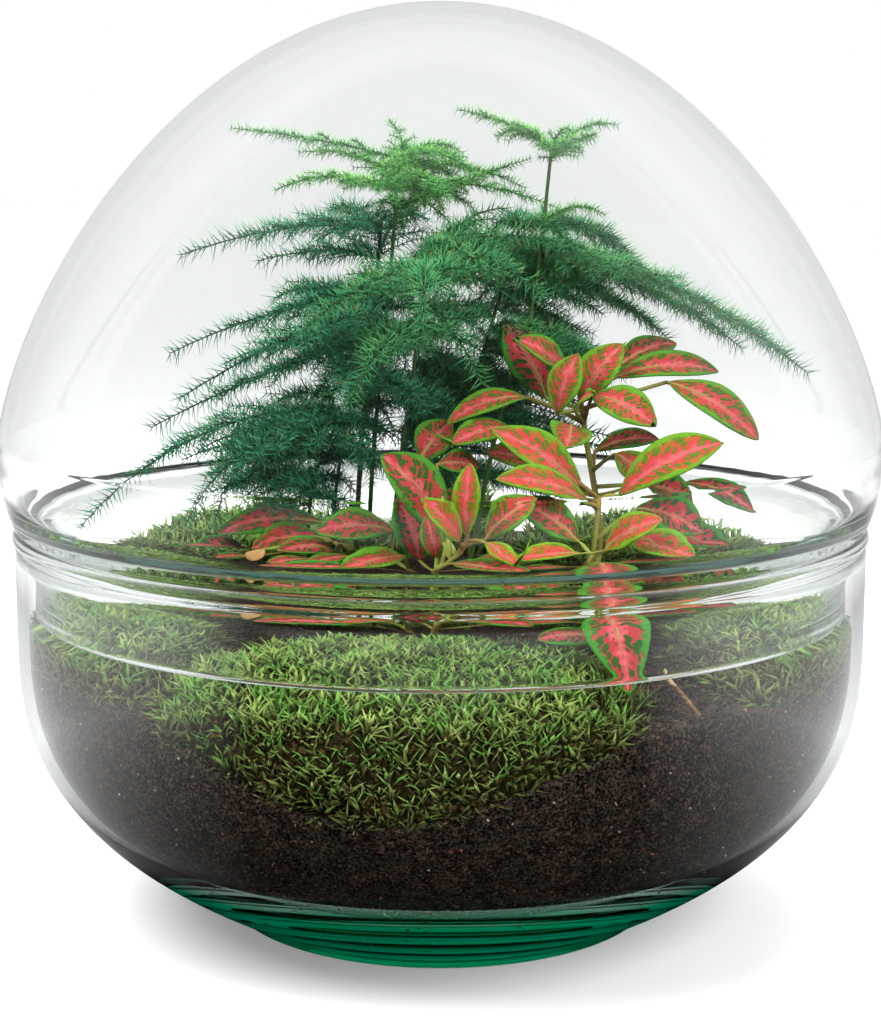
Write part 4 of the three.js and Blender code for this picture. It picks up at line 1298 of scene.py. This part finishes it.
# %% Stems and sprays of the lace fern
# each frond: its foot, the points above it, and its sprays: the place on the stem, the
# crest of the arch and the tip
FRONDS = {
    "fern_top": ((-22, 18), [[-20, 17, 130], [-15, 15, 180], [-12, 15, 217]], [
        (1.0, (-32, 8, 223), (-59, 0, 226)),
        (0.94, (-31, -5, 216), (-45, -20, 209)),
        (0.98, (-9, 20, 223), (-15, 25, 228)),
        (0.9, (9, 18, 212), (26, 20, 217)),
        (0.94, (-20, 2, 211), (-28, -13, 211)),
        (0.96, (-24, 28, 221), (-42, 34, 219)),
    ]),
    "fern_tall": ((8, 18), [[17, 14, 140], [27, 12, 176], [32, 10, 220]], [
        (1.0, (18, 8, 229), (5, 5, 231)),
        (1.0, (42, 12, 229), (51, 12, 227)),
        (0.99, (38, 0, 223), (43, -10, 224)),
        (0.98, (36, 18, 221), (41, 25, 220)),
        (0.86, (39, 16, 206), (48, 20, 201)),
    ]),
    "fern_left_mid": ((-26, 26), [[-24, 26, 130], [-20, 20, 168], [-17, 7, 200]], [
        (0.98, (-43, 0, 201), (-72, -15, 191)),
        (0.9, (-32, 19, 193), (-54, 26, 187)),
        (0.96, (-23, 28, 206), (-34, 42, 201)),
        (0.9, (-14, 38, 206), (-4, 52, 198)),
    ]),
    "fern_left": ((-32, 14), [[-31, 13, 120], [-24, 11, 155], [-16, 10, 181]], [
        (0.98, (-51, 10, 175), (-79, 10, 161)),
        (0.94, (-45, -10, 169), (-72, -26, 152)),
        (0.85, (-56, 6, 155), (-84, 4, 140)),
        (0.97, (-42, 20, 182), (-50, 40, 175)),
        (0.9, (-28, -20, 177), (-38, -38, 167)),
    ]),
    "fern_low": ((-38, 6), [[-39, 5, 108], [-36, 5, 130], [-31, 5, 148]], [
        (0.97, (-74, -6, 147), (-103, -20, 113)),
        (0.9, (-60, -15, 141), (-70, -30, 118)),
        (0.86, (-60, 17, 140), (-68, 18, 108)),
        (0.8, (-50, 28, 132), (-64, 36, 116)),
        (0.7, (-45, -4, 130), (-49, -8, 116)),
    ]),
    "fern_right": ((0, 24), [[4, 22, 130], [14, 18, 165], [23, 15, 197]], [
        (0.97, (67, 6, 188), (105, -5, 157)),
        (1.0, (44, 28, 204), (61, 33, 183)),
        (0.9, (50, 26, 181), (68, 26, 164)),
        (0.94, (62, 34, 184), (92, 36, 160)),
        (0.86, (38, 38, 168), (50, 46, 144)),
    ]),
    "fern_centre": ((-14, 8), [[-13, 7, 120], [-8, 5, 155], [-3, 5, 190]], [
        (0.97, (-22, -28, 186), (-37, -46, 172)),
        (0.88, (4, -22, 173), (11, -32, 157)),
        (0.82, (-16, -34, 172), (-24, -50, 154)),
        (0.96, (-4, -36, 189), (-5, -60, 175)),
        (1.0, (14, -12, 193), (28, -22, 180)),
    ]),
    "fern_rear": ((-12, 34), [[-11, 36, 125], [-8, 40, 155], [-6, 42, 178]], [
        (0.98, (-26, 58, 178), (-48, 66, 166)),
        (1.0, (-2, 62, 186), (2, 80, 178)),
        (0.94, (20, 58, 174), (42, 68, 160)),
        (0.86, (-20, 56, 154), (-34, 62, 136)),
        (0.84, (12, 56, 152), (28, 62, 134)),
    ]),
}

# %% A whorl of needles
NEEDLE_R, YOUNG_NEEDLE_R, WHORL_KINDS = 0.20, 0.34, 8


def whorl(seed, needle_r):
    """Four needles about 5 mm long round a point, leaning forwards along +Z."""
    draw = random.Random(seed)
    bm = bmesh.new()
    for k in range(4):
        length = draw.uniform(4.4, 6.6)
        lean = math.radians(draw.uniform(42, 74))
        needle = bmesh.new()
        bmesh.ops.create_cone(
            needle, segments=3, cap_ends=True, radius1=needle_r, radius2=0, depth=length,
            matrix=Matrix.Translation((0, 0, length / 2)),
        )
        with_height(needle, 0, length)
        turn = Matrix.Rotation(k * math.pi / 2 + draw.uniform(-0.7, 0.7), 4, "Z")
        add_part(bm, needle, 0, turn @ Matrix.Rotation(lean, 4, "X"))
    return bm


WHORLS = [as_mesh(whorl(seed, NEEDLE_R)) for seed in range(WHORL_KINDS)]
YOUNG_WHORLS = [as_mesh(whorl(seed, YOUNG_NEEDLE_R)) for seed in range(WHORL_KINDS)]
print("one whorl has", len(WHORLS[0].polygons), "faces")

# %% Habits of growth
# needle: its size; apart: between whorls; branch: longest side branch; every: between
# side branches; end: the share of the spray that has them; rib: radius of the spray's rib
PLUME = {"needle": 1.08, "apart": 1.5, "branch": 19, "every": 2.1, "end": 0.74,
         "rib": 0.45, "whorls": WHORLS}
LONG_PLUME = {"needle": 1.0, "apart": 1.1, "branch": 18, "every": 1.4, "end": 0.97,
              "rib": 0.45, "whorls": WHORLS}
FLAT_SPRAY = {"needle": 0.60, "apart": 1.1, "branch": 12, "every": 2.6, "end": 0.95,
              "rib": 0.3, "whorls": YOUNG_WHORLS}
BRANCH_TURN = math.radians(48)


# %% Branches and their needles


def arch_line(start, crest, tip, steps):
    """A curve from start to tip that leans over the crest."""
    return [start * (1 - t) ** 2 + crest * (2 * t * (1 - t)) + tip * t**2
            for t in (k / steps for k in range(steps + 1))]


def add_whorls(bm, line, size, habit, draw):
    """Needle whorls all along a branch, smaller at its tip."""
    count = max(2, int(line_length(line) / habit["apart"]))
    for k in range(count + 1):
        spot, ahead = place_on(line, k / count)
        scale = size * draw.uniform(0.85, 1.12) * (0.85 if k > count - 2 else 1)
        turn = turned(ahead, draw.uniform(0, 2 * math.pi))
        matrix = Matrix.Translation(spot) @ turn @ Matrix.Scale(scale, 4)
        stamp(bm, draw.choice(habit["whorls"]), matrix)


def side_branch(spot, ahead, reach, side, draw):
    """A side branch that leaves the spray at an angle and sags a little."""
    level = ahead.cross((0, 0, 1)).normalized()
    turn = BRANCH_TURN * draw.uniform(0.8, 1.2) * side
    rise = Vector((0, 0, draw.uniform(-0.25, 0.3)))
    way = ahead * math.cos(turn) + level * math.sin(turn) + rise
    end = spot + way.normalized() * reach - Vector((0, 0, 0.1 * reach))
    crest = spot + way * reach * 0.5 + Vector((0, 0, 0.06 * reach))
    return arch_line(spot, crest, end, 4)


def add_spray(bm, rods, line, habit, draw):
    """One spray: its rib, its needles and its side branches with theirs."""
    length = line_length(line)
    thinner = habit["rib"] * 0.67 / len(line)
    rods.append([(spot, habit["rib"] - thinner * k) for k, spot in enumerate(line)])
    add_whorls(bm, line, habit["needle"], habit, draw)
    longest = min(habit["branch"], 0.42 * length)
    for k in range(int(habit["end"] * length / habit["every"])):
        share = k * habit["every"] / length
        reach = longest * (1 - share / habit["end"]) ** 0.7 * draw.uniform(0.75, 1.1)
        if reach > 2.5:
            spot, ahead = place_on(line, share)
            twig = side_branch(spot, ahead, reach, 1 if k % 2 else -1, draw)
            rods.append([(place, 0.2 - 0.03 * n) for n, place in enumerate(twig)])
            add_whorls(bm, twig, 0.85 * habit["needle"], habit, draw)


# %% [markdown]
# Between the long sprays the plant fills its middle with short ones, which make the dark
# cloud behind the nerve plant. They are drawn by rule: each runs from a stem to a point
# near the surface of an egg-shaped room.

# %% Short sprays in the middle
# where each cloud lies and its half sizes
LEFT_CLOUD = (Vector((-20, 16, 152)), Vector((44, 36, 31)))
RIGHT_CLOUD = (Vector((26, 26, 165)), Vector((40, 30, 34)))
TOP_CLOUD = (Vector((2, 16, 206)), Vector((35, 28, 15)))
MID_CLOUD = (Vector((20, 14, 190)), Vector((36, 26, 15)))
TALL_CLOUD = (Vector((27, 10, 226)), Vector((24, 14, 5)))
LOW_CLOUD = (Vector((20, 30, 130)), Vector((40, 22, 24)))
LOW_LEFT_CLOUD = (Vector((-40, 12, 126)), Vector((38, 26, 20)))


def short_spray(line, cloud, draw):
    """A short spray from the stem to a random point of the cloud."""
    middle, size = cloud
    way = Vector((draw.gauss(0, 1), draw.gauss(0, 1), draw.gauss(0, 1))).normalized()
    tip = middle + way * size * draw.uniform(0.6, 1.0)
    share = (tip.z + 6 - line[0].z) / (line[-1].z - line[0].z)
    start, _ = place_on(line, min(max(share, 0.45), 1))
    crest = start.lerp(tip, 0.5) + Vector((0, 0, 7))
    return arch_line(start, crest, tip, 10)


def frond(plant, habit, shorts, cloud, seed):
    """A frond on its stem, with a number of short sprays besides those of the list."""
    draw = random.Random(seed)
    foot, stem, sprays = plant
    line = plant_line(foot, stem)
    bm = bmesh.new()
    rods = [[(spot, 0.95 - 0.45 * k / len(line)) for k, spot in enumerate(line)]]
    for place, crest, tip in sprays:
        start, _ = place_on(line, place)
        add_spray(bm, rods, arch_line(start, Vector(crest), Vector(tip), 14), habit, draw)
    for _ in range(shorts):
        add_spray(bm, rods, short_spray(line, cloud, draw), habit, draw)
    add_rods(bm, rods, 1, 4)
    keep_inside(bm, 1)
    return bm


# %% Fern materials
def fern_materials(name, low, high, young, stem_low, stem_high):
    needles = shoot_material(name + " needles", low, high, young, 420)
    return [needles, stem_material(name + " stem", stem_low, stem_high, 300)]


DARK_FERN = fern_materials(
    "dark fern", (0.035, 0.20, 0.10), (0.08, 0.38, 0.18), (0.14, 0.49, 0.20),
    (0.014, 0.035, 0.020), (0.05, 0.09, 0.03),
)
MID_FERN = fern_materials(
    "mid fern", (0.05, 0.23, 0.09), (0.10, 0.39, 0.15), (0.18, 0.52, 0.17),
    (0.014, 0.035, 0.020), (0.05, 0.09, 0.03),
)
YOUNG_FERN = fern_materials(
    "young fern", (0.09, 0.35, 0.10), (0.19, 0.62, 0.15), (0.35, 0.74, 0.14),
    (0.03, 0.09, 0.02), (0.08, 0.16, 0.03),
)

# %% Fronds
# name: habit, number of short sprays, their cloud, materials and slot; others are plumes
HABITS = {
    "fern_top": (FLAT_SPRAY, 21, TOP_CLOUD, YOUNG_FERN, "young_fern"),
    "fern_tall": (FLAT_SPRAY, 4, TALL_CLOUD, YOUNG_FERN, "young_fern"),
    "fern_rear": (PLUME, 44, LOW_CLOUD, DARK_FERN, "dark_fern"),
    "fern_low": (PLUME, 34, LOW_LEFT_CLOUD, DARK_FERN, "dark_fern"),
    "fern_right": (LONG_PLUME, 22, RIGHT_CLOUD, MID_FERN, "dark_fern"),
    "fern_centre": (PLUME, 16, MID_CLOUD, MID_FERN, "dark_fern"),
}
PLAIN_HABIT = (PLUME, 15, LEFT_CLOUD, DARK_FERN, "dark_fern")
FERN_SEED = 71

for k, (name, plant) in enumerate(FRONDS.items()):
    habit, shorts, cloud, materials, slot = HABITS.get(name, PLAIN_HABIT)
    leafy = frond(plant, habit, shorts, cloud, FERN_SEED + k)
    dressed(leafy, name + "_needles", slot, materials, name)

# %% [markdown]
# ## Dry twig
#
# A thin dry twig leans out of the soil at the front right: a rod with a knee, swollen
# a little at its joints, in a streaked tan.

# %% Twig
# each point with the radius of the twig there
TWIG_LINE = [((68, -91, 74), 0.62), ((66.5, -91.2, 77.5), 0.74), ((64.8, -91.8, 79.6), 0.66),
             ((60, -93.2, 86), 0.5), ((58.6, -93.8, 87.4), 0.6), ((55, -95, 92), 0.42)]

twig = bmesh.new()
add_rods(twig, [TWIG_LINE], 0, 8)
dry_wood = earthy_material(
    "dry twig", (0.20, 0.11, 0.05), (0.46, 0.29, 0.15), (0.58, 0.42, 0.26), 700, 0.4, 0.8,
)
dressed(twig, "dry_twig_bent", "dry_wood", [dry_wood], "dry_twig")
